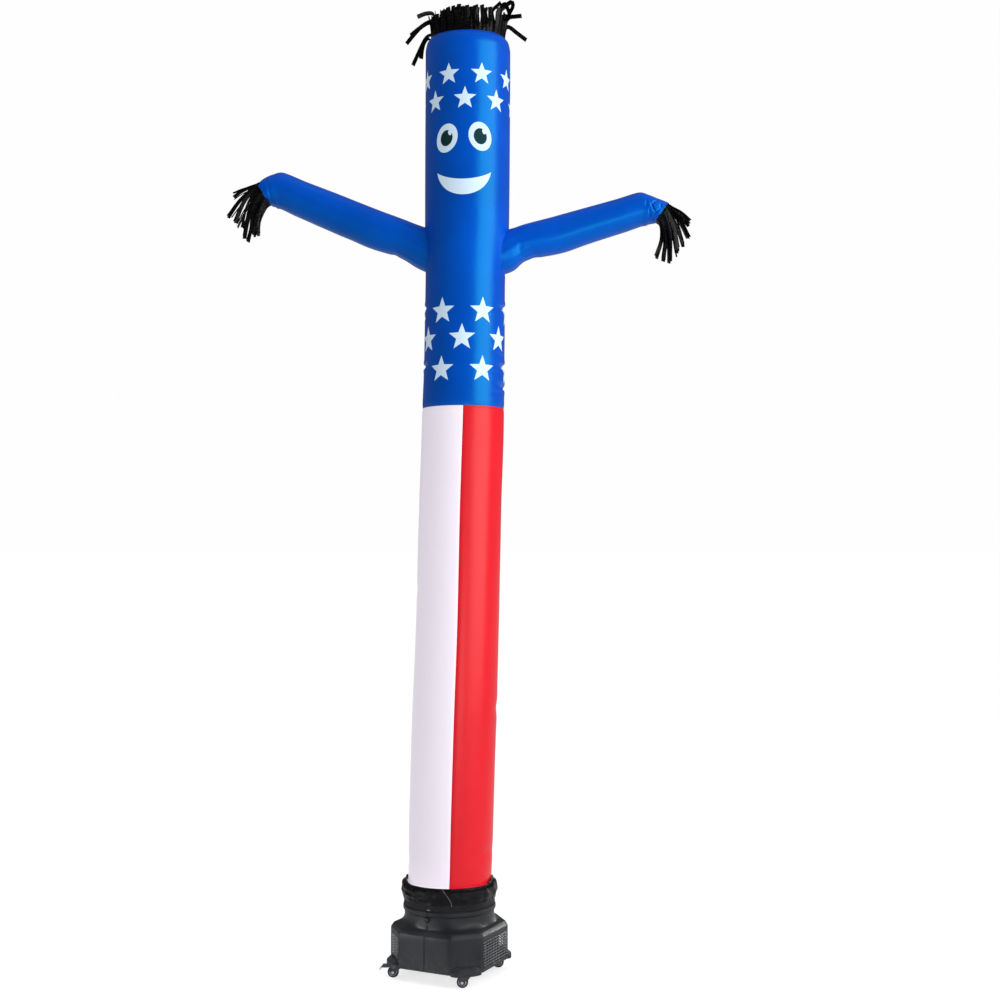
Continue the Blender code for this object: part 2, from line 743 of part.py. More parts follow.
def make_vent(name, azimuth, reach, width, bottom, slots, material):
    """A slotted panel, flush in its window."""
    out = face_direction(azimuth)
    along = Vector((0.0, 0.0, 1.0)).cross(out)
    axis = Vector((AXIS_X, 0.0, 0.0))
    half_width = 0.5 * width - GAP
    low = bottom + GAP
    high = VENT_TOP - GAP

    def cuts(first, last, count, bar_share):
        pitch = (last - first) / (count + bar_share)
        marks = []
        for i in range(count + 1):
            marks += [first + pitch * i, first + pitch * (i + bar_share)]
        return marks

    xs = cuts(-half_width, half_width, slots, VENT_UPRIGHT_SHARE)
    zs = cuts(low, high, VENT_ROWS, VENT_BAR_SHARE)
    bm = bmesh.new()
    grid = [[bm.verts.new(axis + along * x + out * reach + Vector((0.0, 0.0, z))) for x in xs] for z in zs]
    for r in range(len(zs) - 1):
        for c in range(len(xs) - 1):
            if r % 2 == 0 or c % 2 == 0:
                bm.faces.new((grid[r][c], grid[r][c + 1], grid[r + 1][c + 1], grid[r + 1][c]))
    panel = add_object(name, bm, material)
    add_wall(panel, WALL)
    return panel


def make_ring(name, profile, material):
    """A closed section turned round the blower's axis, facet for facet with the housing."""
    marks = [column_azimuth(place) for half in (0, 1) for place in outline_columns(half)[:-1]]
    bm = bmesh.new()
    rows = [[polar(mark, radius, height) for mark in marks] for radius, height in profile]
    grid = loft(bm, rows, True)
    low = grid[-1]
    high = grid[0]
    for i in range(len(marks)):
        j = (i + 1) % len(marks)
        bm.faces.new((low[i], low[j], high[j], high[i]))
    return add_object(name, bm, material)


def make_guard(material):
    """Finger guard over the outlet: rings and spokes in one plate, with a plain cap."""
    pitch = 360.0 / GUARD_SPOKES
    marks = []
    for i in range(GUARD_SPOKES):
        start = i * pitch
        marks += [start - SPOKE_HALF, start + SPOKE_HALF, start + pitch / 3.0, start + 2.0 * pitch / 3.0]
    radii = [GUARD_CAP]
    for inner, outer in GUARD_RINGS:
        radii += [inner, outer]
    top = GUARD_BOTTOM + GUARD_THICKNESS
    bm = bmesh.new()
    grid = [[bm.verts.new(polar(mark, radius, top)) for mark in marks] for radius in radii]
    bm.faces.new(list(reversed(grid[0])))
    for r in range(len(radii) - 1):
        for i in range(len(marks)):
            j = (i + 1) % len(marks)
            if r % 2 == 1 or i % 4 == 0:
                bm.faces.new((grid[r][i], grid[r + 1][i], grid[r + 1][j], grid[r][j]))
    bmesh.ops.recalc_face_normals(bm, faces=bm.faces[:])
    if sum(face.normal.z * face.calc_area() for face in bm.faces) < 0.0:
        bmesh.ops.reverse_faces(bm, faces=bm.faces[:])
    mesh = bpy.data.meshes.new("outlet_guard")
    bm.to_mesh(mesh)
    bm.free()
    mesh.materials.append(material)
    guard = bpy.data.objects.new("outlet_guard", mesh)
    bpy.context.scene.collection.objects.link(guard)
    add_wall(guard, GUARD_THICKNESS)
    return guard


def make_floor_pan(material):
    """The plate that closes the housing from below, inside its walls."""
    rows = []
    for height in (BASE_BOTTOM, BASE_BOTTOM + WALL):
        corners = octagon_corners(WALL + GAP)
        rows.append([polar(BLOWER_TURN + turn, reach, height) for turn, reach in corners])
    return add_object("floor_pan", capped_loft(rows), material)


def make_seam_boss(name, azimuth, material):
    """A rounded double tab with a screw through it, on the seam under the bead."""
    out = face_direction(azimuth)
    along = Vector((0.0, 0.0, 1.0)).cross(out)
    axis = Vector((AXIS_X, 0.0, 0.0))
    middle = 0.5 * (BOSS_LOW + BOSS_HIGH)
    tall = 0.5 * (BOSS_HIGH - BOSS_LOW) - GAP
    seat = NECK_RADIUS + GAP
    outline = []
    for k in range(7):
        angle = math.radians(-90.0 + 30.0 * k)
        outline.append((seat + (BOSS_OUT - seat) * math.cos(angle), middle + tall * math.sin(angle)))
    rows = []
    for across in (-BOSS_HALF, BOSS_HALF):
        rows.append([axis + out * reach + along * across + Vector((0.0, 0.0, z)) for reach, z in outline])
    return add_object(name, capped_loft(rows), material)


def turned(profile, sides, first_turn=0.0, closed=True):
    """Turn a profile of (radius, y) about the Y axis through the origin."""
    bm = bmesh.new()
    rows = []
    for radius, y in profile:
        row = []
        for i in range(sides):
            angle = math.radians(first_turn + 360.0 * i / sides)
            row.append(Vector((radius * math.sin(angle), y, -radius * math.cos(angle))))
        rows.append(row)
    grid = loft(bm, rows, True)
    if closed:
        for i in range(sides):
            j = (i + 1) % sides
            bm.faces.new((grid[-1][i], grid[-1][j], grid[0][j], grid[0][i]))
    else:
        bm.faces.new(list(reversed(grid[0])))
        bm.faces.new(grid[-1])
    return bm


def fork_outline():
    """Side view of the fork: wide at the swivel, drawn in round the axle."""
    points = list(FORK_FRONT)
    for angle in (20.0, -10.0, -45.0, -90.0, -135.0, 180.0):
        turn = math.radians(angle)
        points.append((-CASTER_TRAIL + FORK_EYE * math.cos(turn), WHEEL_RADIUS + FORK_EYE * math.sin(turn)))
    return points + FORK_REAR


def fork_mesh():
    """The pressed fork with its swivel stem, cut out for the wheel and the axle."""
    rows = []
    for y in (-FORK_HALF, FORK_HALF):
        rows.append([Vector((x, y, z)) for x, z in fork_outline()])
    fork = add_object("fork_blank", capped_loft(rows), None)

    bm = bmesh.new()
    bmesh.ops.create_cube(bm, size=2.0)
    for vert in bm.verts:
        vert.co = Vector((vert.co.x * 0.05, vert.co.y * FORK_INNER, vert.co.z * 0.04 + FORK_ROOF - 0.04))
    slot = add_object("fork_slot", bm, None)
    add_boolean(fork, slot, "DIFFERENCE")

    bm = turned([(BORE_RADIUS, -0.03), (BORE_RADIUS, 0.03)], 8, 22.5, closed=False)
    bmesh.ops.translate(bm, verts=bm.verts[:], vec=(-CASTER_TRAIL, 0.0, WHEEL_RADIUS))
    bore = add_object("fork_bore", bm, None)
    add_boolean(fork, bore, "DIFFERENCE")

    rows = []
    for height in (FORK_TOP - 0.001, BASE_BOTTOM - GAP):
        rows.append([polar(36.0 * i, SWIVEL_RADIUS, height, 0.0) for i in range(10)])
    stem = add_object("fork_stem", capped_loft(rows), None)
    add_boolean(fork, stem, "UNION")

    graph = bpy.context.evaluated_depsgraph_get()
    mesh = bpy.data.meshes.new_from_object(fork.evaluated_get(graph))
    mesh.name = "fork"
    for used in (fork, slot, bore, stem):
        bpy.data.objects.remove(used, do_unlink=True)
    return mesh


def place_shared(name, mesh, material, parent):
    """An object of its own that shares a mesh with its like, standing on its joint's axis."""
    if not mesh.materials:
        mesh.materials.append(material)
    made = bpy.data.objects.new(name, mesh)
    bpy.context.scene.collection.objects.link(made)
    made.parent = parent
    return made


def mesh_of(name, bm):
    bm.normal_update()
    bmesh.ops.recalc_face_normals(bm, faces=bm.faces[:])
    mesh = bpy.data.meshes.new(name)
    bm.to_mesh(mesh)
    bm.free()
    mesh.shade_smooth()
    mesh.set_sharp_from_angle(angle=math.radians(35.0))
    return mesh


def make_casters(steel, rubber, alloy, zinc):
    fork = fork_mesh()
    fork.materials.clear()
    rim = WHEEL_RADIUS / math.cos(math.pi / WHEEL_SIDES)
    shoulder = rim - TYRE_SHOULDER
    flank = TYRE_HALF - TYRE_EDGE
    tyre_profile = [
        (TYRE_INNER, -TYRE_HALF), (shoulder, -TYRE_HALF), (rim, -flank),
        (rim, flank), (shoulder, TYRE_HALF), (TYRE_INNER, TYRE_HALF),
    ]
    half_step = 180.0 / WHEEL_SIDES
    tyre = mesh_of("tyre", turned(tyre_profile, WHEEL_SIDES, half_step))
    hub_profile = [
        (BORE_RADIUS, -HUB_HALF), (HUB_RADIUS, -HUB_HALF), (HUB_RADIUS, HUB_HALF), (BORE_RADIUS, HUB_HALF),
    ]
    hub = mesh_of("hub", turned(hub_profile, WHEEL_SIDES, half_step))
    nut_in = FORK_HALF + GAP
    axle_profile = [
        (NUT_RADIUS, -NUT_OUT), (NUT_RADIUS, -nut_in), (SHAFT_RADIUS, -nut_in),
        (SHAFT_RADIUS, nut_in), (NUT_RADIUS, nut_in), (NUT_RADIUS, NUT_OUT),
    ]
    axle = mesh_of("axle", turned(axle_profile, 6, 0.0, closed=False))
    swivels = {}
    for name, turn in CASTERS:
        place = polar(BLOWER_TURN + turn, CASTER_CIRCLE, 0.0)
        swivel = add_axis("swivel_axis_" + name, place)
        wheel_place = place + Vector((-CASTER_TRAIL, 0.0, WHEEL_RADIUS))
        wheel = add_axis("wheel_axis_" + name, wheel_place, swivel)
        place_shared("fork_" + name, fork, steel, swivel)
        place_shared("axle_" + name, axle, zinc, wheel)
        place_shared("tyre_" + name, tyre, rubber, wheel)
        place_shared("hub_" + name, hub, alloy, wheel)
        swivels[name] = swivel
    return swivels


def make_brake(swivel, steel):
    """A riveted bracket on one fork, and the foot pedal between its ears."""
    reach, height = PEDAL_PIVOT
    outline = [
        (BRACKET_ROOT, 0.0430), (BRACKET_ROOT, 0.0362), (-0.0300, 0.0345), (-0.0415, 0.0345),
        (reach - 0.0020, 0.0345), (reach - 0.0032, 0.0370), (reach - 0.0032, 0.0405), (-0.0430, 0.0430),
    ]
    rows = [[Vector((x, y, z)) for x, z in outline] for y in (-BRACKET_HALF, BRACKET_HALF)]
    bracket = add_object("brake_bracket", capped_loft(rows), steel)
    bracket.parent = swivel
    bm = bmesh.new()
    bmesh.ops.create_cube(bm, size=2.0)
    for vert in bm.verts:
        x, y, z = vert.co
        vert.co = Vector((reach - 0.012 + 0.015 * x, NOTCH_HALF * y, 0.04 + 0.02 * z))
    notch = add_object("brake_notch", bm, None)
    notch.parent = swivel
    add_boolean(bracket, notch, "DIFFERENCE")

    pivot = add_axis("pedal_axis", swivel.location + Vector((reach, 0.0, height)), swivel)
    lever = []
    for angle in (60.0, 110.0, 160.0):
        turn = math.radians(angle)
        lever.append((PEDAL_EYE * math.cos(turn), PEDAL_EYE * math.sin(turn)))
    lever += [(-0.0080, -0.0050), (-0.0120, -0.0115), (-0.0100, -0.0125), (-0.0058, -0.0065)]
    for angle in (250.0, 300.0, 0.0):
        turn = math.radians(angle)
        lever.append((PEDAL_EYE * math.cos(turn), PEDAL_EYE * math.sin(turn)))
    half = NOTCH_HALF - GAP
    rows = [[Vector((x, y, z)) for x, z in lever] for y in (-half, half)]
    pedal = add_object("brake_pedal", capped_loft(rows), steel)
    pedal.parent = pivot


def main():
    clear_scene()
    blue = make_material("nylon_blue", (0.010, 0.075, 0.46), 0.42)
    white = make_material("nylon_white", (0.80, 0.76, 0.82), 0.45)
    red = make_material("nylon_red", (0.68, 0.012, 0.025), 0.42)
    black = make_material("nylon_black", (0.012, 0.012, 0.014), 0.40)
    foil = make_material("strip_black", (0.015, 0.015, 0.017), 0.25)
    shell = make_material("moulded_grey", (0.060, 0.065, 0.075), 0.45)
    tape = make_material("hook_tape", (0.014, 0.012, 0.018), 0.85)
    steel = make_material("fork_steel", (0.070, 0.075, 0.095), 0.40, 0.6)
    rubber = make_material("tyre_rubber", (0.012, 0.012, 0.012), 0.65)
    alloy = make_material("hub_pale", (0.62, 0.62, 0.64), 0.35, 0.4)
    zinc = make_material("zinc_bolt", (0.70, 0.70, 0.72), 0.30, 1.0)

    torso = make_torso(blue)
    zone = [h for h in row_heights(WAIST + 0.5 * GAP, HEAD_RIM, TORSO_PITCH) if ARM_ZONE[0] < h < ARM_ZONE[1]]
    core = add_object("arm_trim_core", capped_loft(body_rows(zone, GAP)), None)
    for side in ("left", "right"):
        make_arm(side, blue, torso, core)
        make_hand_fringe(side, foil)
    make_head_fringe(foil)
    panel_names = ["panel_front_left", "panel_back_left", "panel_back_right", "panel_front_right"]
    for number in range(PANEL_COUNT):
        make_panel(number, (white, red)[number % 2], panel_names[number])
    make_cuff(black)

    make_housing_half(0, "housing_right", shell)
    make_housing_half(1, "housing_left", shell)
    for number, side in enumerate(("right", "left")):
        wall = BLOWER_TURN + 180.0 * number + 90.0
        corner = wall + 45.0
        make_vent("vent_wide_" + side, wall, FLAT_REACH, WIDE_VENT, WIDE_VENT_BOTTOM, WIDE_VENT_SLOTS, shell)
        low = CORNER_VENT_BOTTOM
        make_vent("vent_corner_" + side, corner, CORNER_REACH, CORNER_VENT, low, CORNER_VENT_SLOTS, shell)
        make_seam_boss(("seam_boss_front", "seam_boss_back")[number], BLOWER_TURN + 180.0 * number, shell)
    band_inner = NECK_RADIUS + GAP
    band = [
        (BAND_RADIUS, BAND_BOTTOM), (BAND_RADIUS, BAND_TOP),
        (band_inner, BAND_TOP), (band_inner, BAND_BOTTOM),
    ]
    make_ring("hook_band", band, tape)
    make_guard(shell)
    make_floor_pan(shell)
    swivels = make_casters(steel, rubber, alloy, zinc)
    make_brake(swivels[BRAKE_CASTER], steel)


main()
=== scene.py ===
from functools import partial
import math

import bmesh
import bpy
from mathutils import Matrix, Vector, noise


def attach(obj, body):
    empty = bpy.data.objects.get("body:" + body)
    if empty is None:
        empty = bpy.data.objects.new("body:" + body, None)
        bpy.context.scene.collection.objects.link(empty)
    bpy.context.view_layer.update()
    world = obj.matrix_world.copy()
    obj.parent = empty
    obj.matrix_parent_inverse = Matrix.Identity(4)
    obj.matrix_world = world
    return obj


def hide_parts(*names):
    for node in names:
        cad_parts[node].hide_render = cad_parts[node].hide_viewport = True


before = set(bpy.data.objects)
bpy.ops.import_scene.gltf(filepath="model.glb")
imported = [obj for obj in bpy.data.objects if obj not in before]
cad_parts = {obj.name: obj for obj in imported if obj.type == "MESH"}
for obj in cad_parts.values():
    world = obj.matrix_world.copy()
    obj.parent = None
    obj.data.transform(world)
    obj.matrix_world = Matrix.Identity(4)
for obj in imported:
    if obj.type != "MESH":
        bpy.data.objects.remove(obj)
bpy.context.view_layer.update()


# The studio: a pale lit floor that runs out to a white surround, a tall soft light to the right
# of the dancer and a small low one that grazes the blower from the left. The camera looks level
# from chest height, a little to the right of straight ahead.

AXIS_X = -0.042            # the blower's axis
EYE_HEIGHT = 1.435
VIEW_TURN = math.radians(3.0)
VIEW_DISTANCE = 4.93
VIEW_ASIDE = 0.1717        # the axis stands this far left of the view's middle
scene = bpy.context.scene
scene.view_settings.view_transform = "Standard"


def join(tree, source, target):
    """Connect a value, or a node's output, to an input."""
    if isinstance(source, (int, float)):
        target.default_value = source
    else:
        tree.links.new(source, target)


def work_out(tree, operation, *values):
    """One step of arithmetic in a material."""
    step = tree.nodes.new("ShaderNodeMath")
    step.operation = operation
    for value, socket in zip(values, step.inputs):
        join(tree, value, socket)
    return step.outputs[0]


def finish_of(name, roughness, metallic=0.0, specular=0.5):
    """A new material, its shader and its tree."""
    material = bpy.data.materials.new(name)
    material.use_nodes = True
    tree = material.node_tree
    shader = tree.nodes["Principled BSDF"]
    shader.inputs["Roughness"].default_value = roughness
    shader.inputs["Metallic"].default_value = metallic
    shader.inputs["Specular IOR Level"].default_value = specular
    return material, tree, shader


def blend_colours(tree, share, first, second):
    """Mix two colours by a mask. A colour is three numbers or a node's output."""
    mix = tree.nodes.new("ShaderNodeMix")
    mix.data_type = "RGBA"
    for value, socket in ((first, mix.inputs[6]), (second, mix.inputs[7])):
        if isinstance(value, tuple):
            socket.default_value = (*value, 1.0)
        else:
            tree.links.new(value, socket)
    join(tree, share, mix.inputs[0])
    return mix.outputs[2]


def cloudiness(tree, scale, detail=3.0, low=0.35, high=0.65):
    """Soft uneven patches, from 0 to 1, fixed to the object."""
    place = tree.nodes.new("ShaderNodeTexCoord")
    cloud = tree.nodes.new("ShaderNodeTexNoise")
    cloud.inputs["Scale"].default_value = scale
    cloud.inputs["Detail"].default_value = detail
    tree.links.new(place.outputs["Object"], cloud.inputs["Vector"])
    spread = tree.nodes.new("ShaderNodeMapRange")
    spread.inputs["From Min"].default_value = low
    spread.inputs["From Max"].default_value = high
    tree.links.new(cloud.outputs[0], spread.inputs["Value"])
    return spread.outputs[0]


def raise_surface(tree, shader, height, distance, under=None):
    """Emboss a surface by a height map."""
    relief = tree.nodes.new("ShaderNodeBump")
    relief.inputs["Distance"].default_value = distance
    relief.inputs["Strength"].default_value = 1.0
    tree.links.new(height, relief.inputs["Height"])
    if under:
        tree.links.new(under, relief.inputs["Normal"])
    tree.links.new(relief.outputs["Normal"], shader.inputs["Normal"])
    return relief.outputs["Normal"]


floor_mesh = bmesh.new()
bmesh.ops.create_circle(floor_mesh, cap_ends=True, segments=96, radius=3000.0)
floor_data = bpy.data.meshes.new("studio_floor")
floor_mesh.to_mesh(floor_data)
floor_mesh.free()
studio_floor = bpy.data.objects.new("studio_floor", floor_data)
scene.collection.objects.link(studio_floor)
floor_paint, floor_tree, floor_shader = finish_of("floor_paint", 0.75, specular=0.1)
floor_colour = blend_colours(floor_tree, cloudiness(floor_tree, 0.7), (0.49, 0.49, 0.50), (0.51, 0.51, 0.51))
floor_tree.links.new(floor_colour, floor_shader.inputs["Base Color"])
floor_data.materials.append(floor_paint)


def strength_of(tree, seen, mirrored, spread):
    """A glow that is seen at one strength, mirrored at another, and lights matt things at a third."""
    ray_kind = tree.nodes.new("ShaderNodeLightPath")
    glow = work_out(tree, "MULTIPLY_ADD", ray_kind.outputs["Is Camera Ray"], seen - mirrored, mirrored)
    return work_out(tree, "MULTIPLY_ADD", ray_kind.outputs["Is Diffuse Ray"], spread - mirrored, glow)


# The floor glows a little, so that it meets the white surround without a line
floor_shader.inputs["Emission Color"].default_value = (1.0, 1.0, 1.0, 1.0)
floor_tree.links.new(strength_of(floor_tree, 0.69, 0.10, 0.0), floor_shader.inputs["Emission Strength"])

surround = bpy.data.worlds.new("white_surround")
scene.world = surround
surround.use_nodes = True
surround_tree = surround.node_tree
surround_light = surround_tree.nodes["Background"]
surround_light.inputs["Color"].default_value = (1.0, 1.0, 1.0, 1.0)
surround_tree.links.new(strength_of(surround_tree, 0.99, 0.12, 0.42), surround_light.inputs["Strength"])

SOFTBOXES = [
    # name, azimuth, distance, height, width, tall, watts, spread of its beam, height it aims at
    ("light_right", 60.0, 3.6, 2.75, 3.2, 4.4, 135.0, 180.0, 2.2),
    ("light_front_right", 19.5, 4.2, 0.70, 1.0, 0.9, 13.0, 180.0, 1.8),
    ("light_low_left", -58.0, 1.7, 0.42, 0.5, 0.2, 0.38, 20.0, 0.05),
    ("light_low_right", 128.0, 1.3, 0.42, 0.5, 0.2, 0.25, 20.0, 0.12),
]
for light_name, azimuth, distance, height, width, tall, watts, spread, aim_height in SOFTBOXES:
    softbox = bpy.data.lights.new(light_name, "AREA")
    softbox.shape = "RECTANGLE"
    softbox.size = width
    softbox.size_y = tall
    softbox.energy = watts
    softbox.spread = math.radians(spread)
    lamp = bpy.data.objects.new(light_name, softbox)
    turn = math.radians(azimuth)
    lamp.location = (AXIS_X + distance * math.sin(turn), -distance * math.cos(turn), height)
    aim = Vector((AXIS_X, 0.0, aim_height)) - lamp.location
    lamp.rotation_euler = aim.to_track_quat("-Z", "Y").to_euler()
    scene.collection.objects.link(lamp)
overhead = bpy.data.lights.new("light_overhead", "SUN")
overhead.energy = 0.8
overhead.angle = math.radians(38.0)
overhead_lamp = bpy.data.objects.new("light_overhead", overhead)
overhead_lamp.visible_glossy = False
scene.collection.objects.link(overhead_lamp)

camera_data = bpy.data.cameras.new("camera")
camera_data.sensor_width = 36.0
camera_data.lens = 52.2
camera_data.shift_y = 0.05
camera = bpy.data.objects.new("camera", camera_data)
camera.location = (
    AXIS_X + VIEW_ASIDE * math.cos(VIEW_TURN) + VIEW_DISTANCE * math.sin(VIEW_TURN),
    VIEW_ASIDE * math.sin(VIEW_TURN) - VIEW_DISTANCE * math.cos(VIEW_TURN),
    EYE_HEIGHT,
)
camera.rotation_euler = (math.radians(90.0), 0.0, VIEW_TURN)
scene.collection.objects.link(camera)
scene.camera = camera


# The body: one wide length of blue ripstop nylon, sewn into a tube up the back, with two sleeve
# holes, a hem drawn in at the open head, and the stars and the smile printed on it. Blown up it
# is round, and it creases across where the wind bends it at the chest.

TUBE = [
    # height, radius, sideways lean
    (0.3132, 0.1507, 0.000),
    (0.3192, 0.1412, 0.001),
    (0.5200, 0.1434, 0.006),
    (0.8600, 0.1434, 0.016),
    (1.2000, 0.1410, 0.028),
    (1.5600, 0.1399, 0.036),
    (1.9140, 0.1388, 0.047),
    (2.1000, 0.1362, 0.051),
    (2.3600, 0.1352, 0.054),
    (2.5300, 0.1425, 0.060),
    (2.7000, 0.1437, 0.061),
    (3.1250, 0.1437, 0.063),
    (3.1560, 0.1385, 0.063),
    (3.1720, 0.1275, 0.063),
]
CREASES = [
    # height, azimuth, half spread, half height, depth, slope in metres to a degree
    (2.2520, 92.0, 50.0, 0.013, 0.0085, 0.00012),
    (2.2380, 62.0, 30.0, 0.012, 0.0022, 0.00035),
    (2.2540, -92.0, 40.0, 0.011, 0.0068, -0.00010),
    (2.2180, -88.0, 26.0, 0.010, 0.0025, 0.00030),
    (2.0550, 96.0, 52.0, 0.013, 0.0105, 0.00016),
    (2.0850, 68.0, 30.0, 0.011, 0.0026, -0.00050),
    (2.0300, 60.0, 26.0, 0.011, 0.0022, 0.00040),
    (2.0550, -88.0, 42.0, 0.011, 0.0082, 0.00010),
    (1.9840, 86.0, 42.0, 0.012, 0.0075, -0.00020),
    (1.9600, 60.0, 22.0, 0.010, 0.0018, 0.00040),
    (2.3940, 78.0, 24.0, 0.011, 0.0055, 0.00040),
    (2.3720, 84.0, 20.0, 0.009, 0.0030, -0.00030),
    (2.3980, -80.0, 18.0, 0.010, 0.0028, -0.00030),
    (1.3000, -100.0, 45.0, 0.030, 0.0028, 0.00010),
    (0.9000, 100.0, 45.0, 0.035, 0.0028, -0.00012),
    (0.4200, 60.0, 50.0, 0.030, 0.0030, 0.00010),
    (0.3900, -60.0, 50.0, 0.026, 0.0022, 0.00010),
]
WAIST = 1.914
HEAD_RIM = 3.172
CLOTH = 0.0012
SEAM_PINCH = 0.0016        # how far a seam is drawn in
BLUE = (0.0008, 0.084, 0.65)
PRINT_WHITE = (0.62, 0.76, 0.90)
PRINT_PAINTED_GLOW = 0.26          # painted glow on the printed white, standing in for light shining through the cloth
INK = (0.012, 0.014, 0.018)
SHADOW_BLUE = (0.001, 0.030, 0.20)


def read_row(table, value, column):
    """Read a column of a table at a value of its first column, curving without overshoot."""
    if value <= table[0][0]:
        return table[0][column]
    if value >= table[-1][0]:
        return table[-1][column]
    slopes = [(b[column] - a[column]) / (b[0] - a[0]) for a, b in zip(table, table[1:])]
    for i, slope in enumerate(slopes):
        if value > table[i + 1][0]:
            continue
        ends = []
        for near in (slopes[i - 1] if i else slope, slopes[i + 1] if i + 1 < len(slopes) else slope):
            ends.append(2.0 * near * slope / (near + slope) if near * slope > 0.0 else 0.0)
        span = table[i + 1][0] - table[i][0]
        t = (value - table[i][0]) / span
        low, high = table[i][column], table[i + 1][column]
        curve = (2 * t ** 3 - 3 * t ** 2 + 1) * low + (3 * t ** 2 - 2 * t ** 3) * high
        return curve + span * ((t ** 3 - 2 * t ** 2 + t) * ends[0] + (t ** 3 - t ** 2) * ends[1])


def hill(distance):
    """1 at the middle, 0 from a distance of 1, smooth between."""
    return 0.0 if abs(distance) >= 1.0 else 0.5 + 0.5 * math.cos(math.pi * distance)


def between(azimuth, middle):
    return (azimuth - middle + 180.0) % 360.0 - 180.0


def around(azimuth, radius, height, centre_x=AXIS_X):
    turn = math.radians(azimuth)
    return Vector((centre_x + radius * math.sin(turn), -radius * math.cos(turn), height))


def tube_radius(height, azimuth):
    """The blown-up tube's radius, with its creases and a little unevenness."""
    radius = read_row(TUBE, height, 1)
    for crease, middle, spread, half, depth, slope in CREASES:
        off = between(azimuth, middle)
        reach = (height - crease - slope * off) / half
        if abs(off) < spread and abs(reach) < 2.4:
            side = hill(off / spread)
            radius += depth * side * (0.22 * hill((abs(reach) - 1.2) / 1.2) - hill(reach))
    turn = math.radians(azimuth)
    sway = Vector((math.sin(turn), math.cos(turn), 0.0))
    steady = hill(min(1.0, abs(height - 1.75) / 1.45))
    radius += 0.0014 * steady * noise.noise(sway * 1.3 + Vector((0.0, 0.0, height * 5.0)))
    radius -= SEAM_PINCH * hill((height - WAIST) / 0.014)
    return radius


def rim_dip(height, azimuth):
    """How much lower the open head hangs in front than behind."""
    rise = max(0.0, (height - 3.02) / (HEAD_RIM - 3.02))
    return 0.014 * rise * (0.5 + 0.5 * math.cos(math.radians(azimuth)))


def tube_point(height, azimuth):
    low = height - rim_dip(height, azimuth)
    return around(azimuth, tube_radius(height, azimuth), low, AXIS_X + read_row(TUBE, height, 2))


def steps_between(low, high, pitch):
    count = max(1, round((high - low) / pitch))
    return [low + (high - low) * i / count for i in range(count + 1)]


def roll_cloth(marks, heights, place, span=1.0):
    """Lay out a flat cut as a grid, keep its own map, and roll it into shape. place gives a
    point of the shape for a mark across and a mark along."""
    cut = bmesh.new()
    flat = cut.loops.layers.uv.new("flat")
    bmesh.ops.create_grid(cut, x_segments=len(marks) - 1, y_segments=len(heights) - 1, size=0.5)
    spots = {}
    for vert in cut.verts:
        column = round((vert.co.x + 0.5) * (len(marks) - 1))
        row = round((vert.co.y + 0.5) * (len(heights) - 1))
        spots[vert] = (marks[column], heights[row])
    for face in cut.faces:
        for corner in face.loops:
            across, along = spots[corner.vert]
            corner[flat].uv = (across / span, along)
    for vert, (across, along) in spots.items():
        vert.co = place(across, along)
    return cut


def close_and_keep(name, mesh, *materials, facing=None, sharp=40.0):
    """Merge the edges that meet, face the mesh outwards, and make the piece."""
    bmesh.ops.remove_doubles(mesh, verts=mesh.verts[:], dist=0.00002)
    mesh.normal_update()
    if facing is None:
        bmesh.ops.recalc_face_normals(mesh, faces=mesh.faces[:])
    else:
        looks = [
            (face.calc_center_median() - facing).dot(face.normal) * face.calc_area() for face in mesh.faces
        ]
        if sum(looks) < 0.0:
            bmesh.ops.reverse_faces(mesh, faces=mesh.faces[:])
    data = bpy.data.meshes.new(name)
    open_edges = [edge.is_boundary for edge in mesh.edges]
    mesh.to_mesh(data)
    mesh.free()
    data.shade_smooth()
    data.set_sharp_from_angle(angle=math.radians(sharp))
    for is_open, edge in zip(open_edges, data.edges):
        if is_open:
            edge.use_edge_sharp = True
    for material in materials:
        data.materials.append(material)
    piece = bpy.data.objects.new(name, data)
    scene.collection.objects.link(piece)
    return piece


def give_wall(piece, thickness, offset=-1.0, even=True):
    wall = piece.modifiers.new("wall", "SOLIDIFY")
    wall.thickness = thickness
    wall.offset = offset
    wall.use_even_offset = even


def repaint(material, *nodes):
    """Give the frame's own meshes a material."""
    for node in nodes:
        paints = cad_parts[node].data.materials
        paints.clear()
        paints.append(material)


def settle(piece, slot_name, *nodes, body="root"):
    """The piece rides on its body and stands for its solids."""
    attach(piece, body)
    if nodes:
        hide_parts(*nodes)


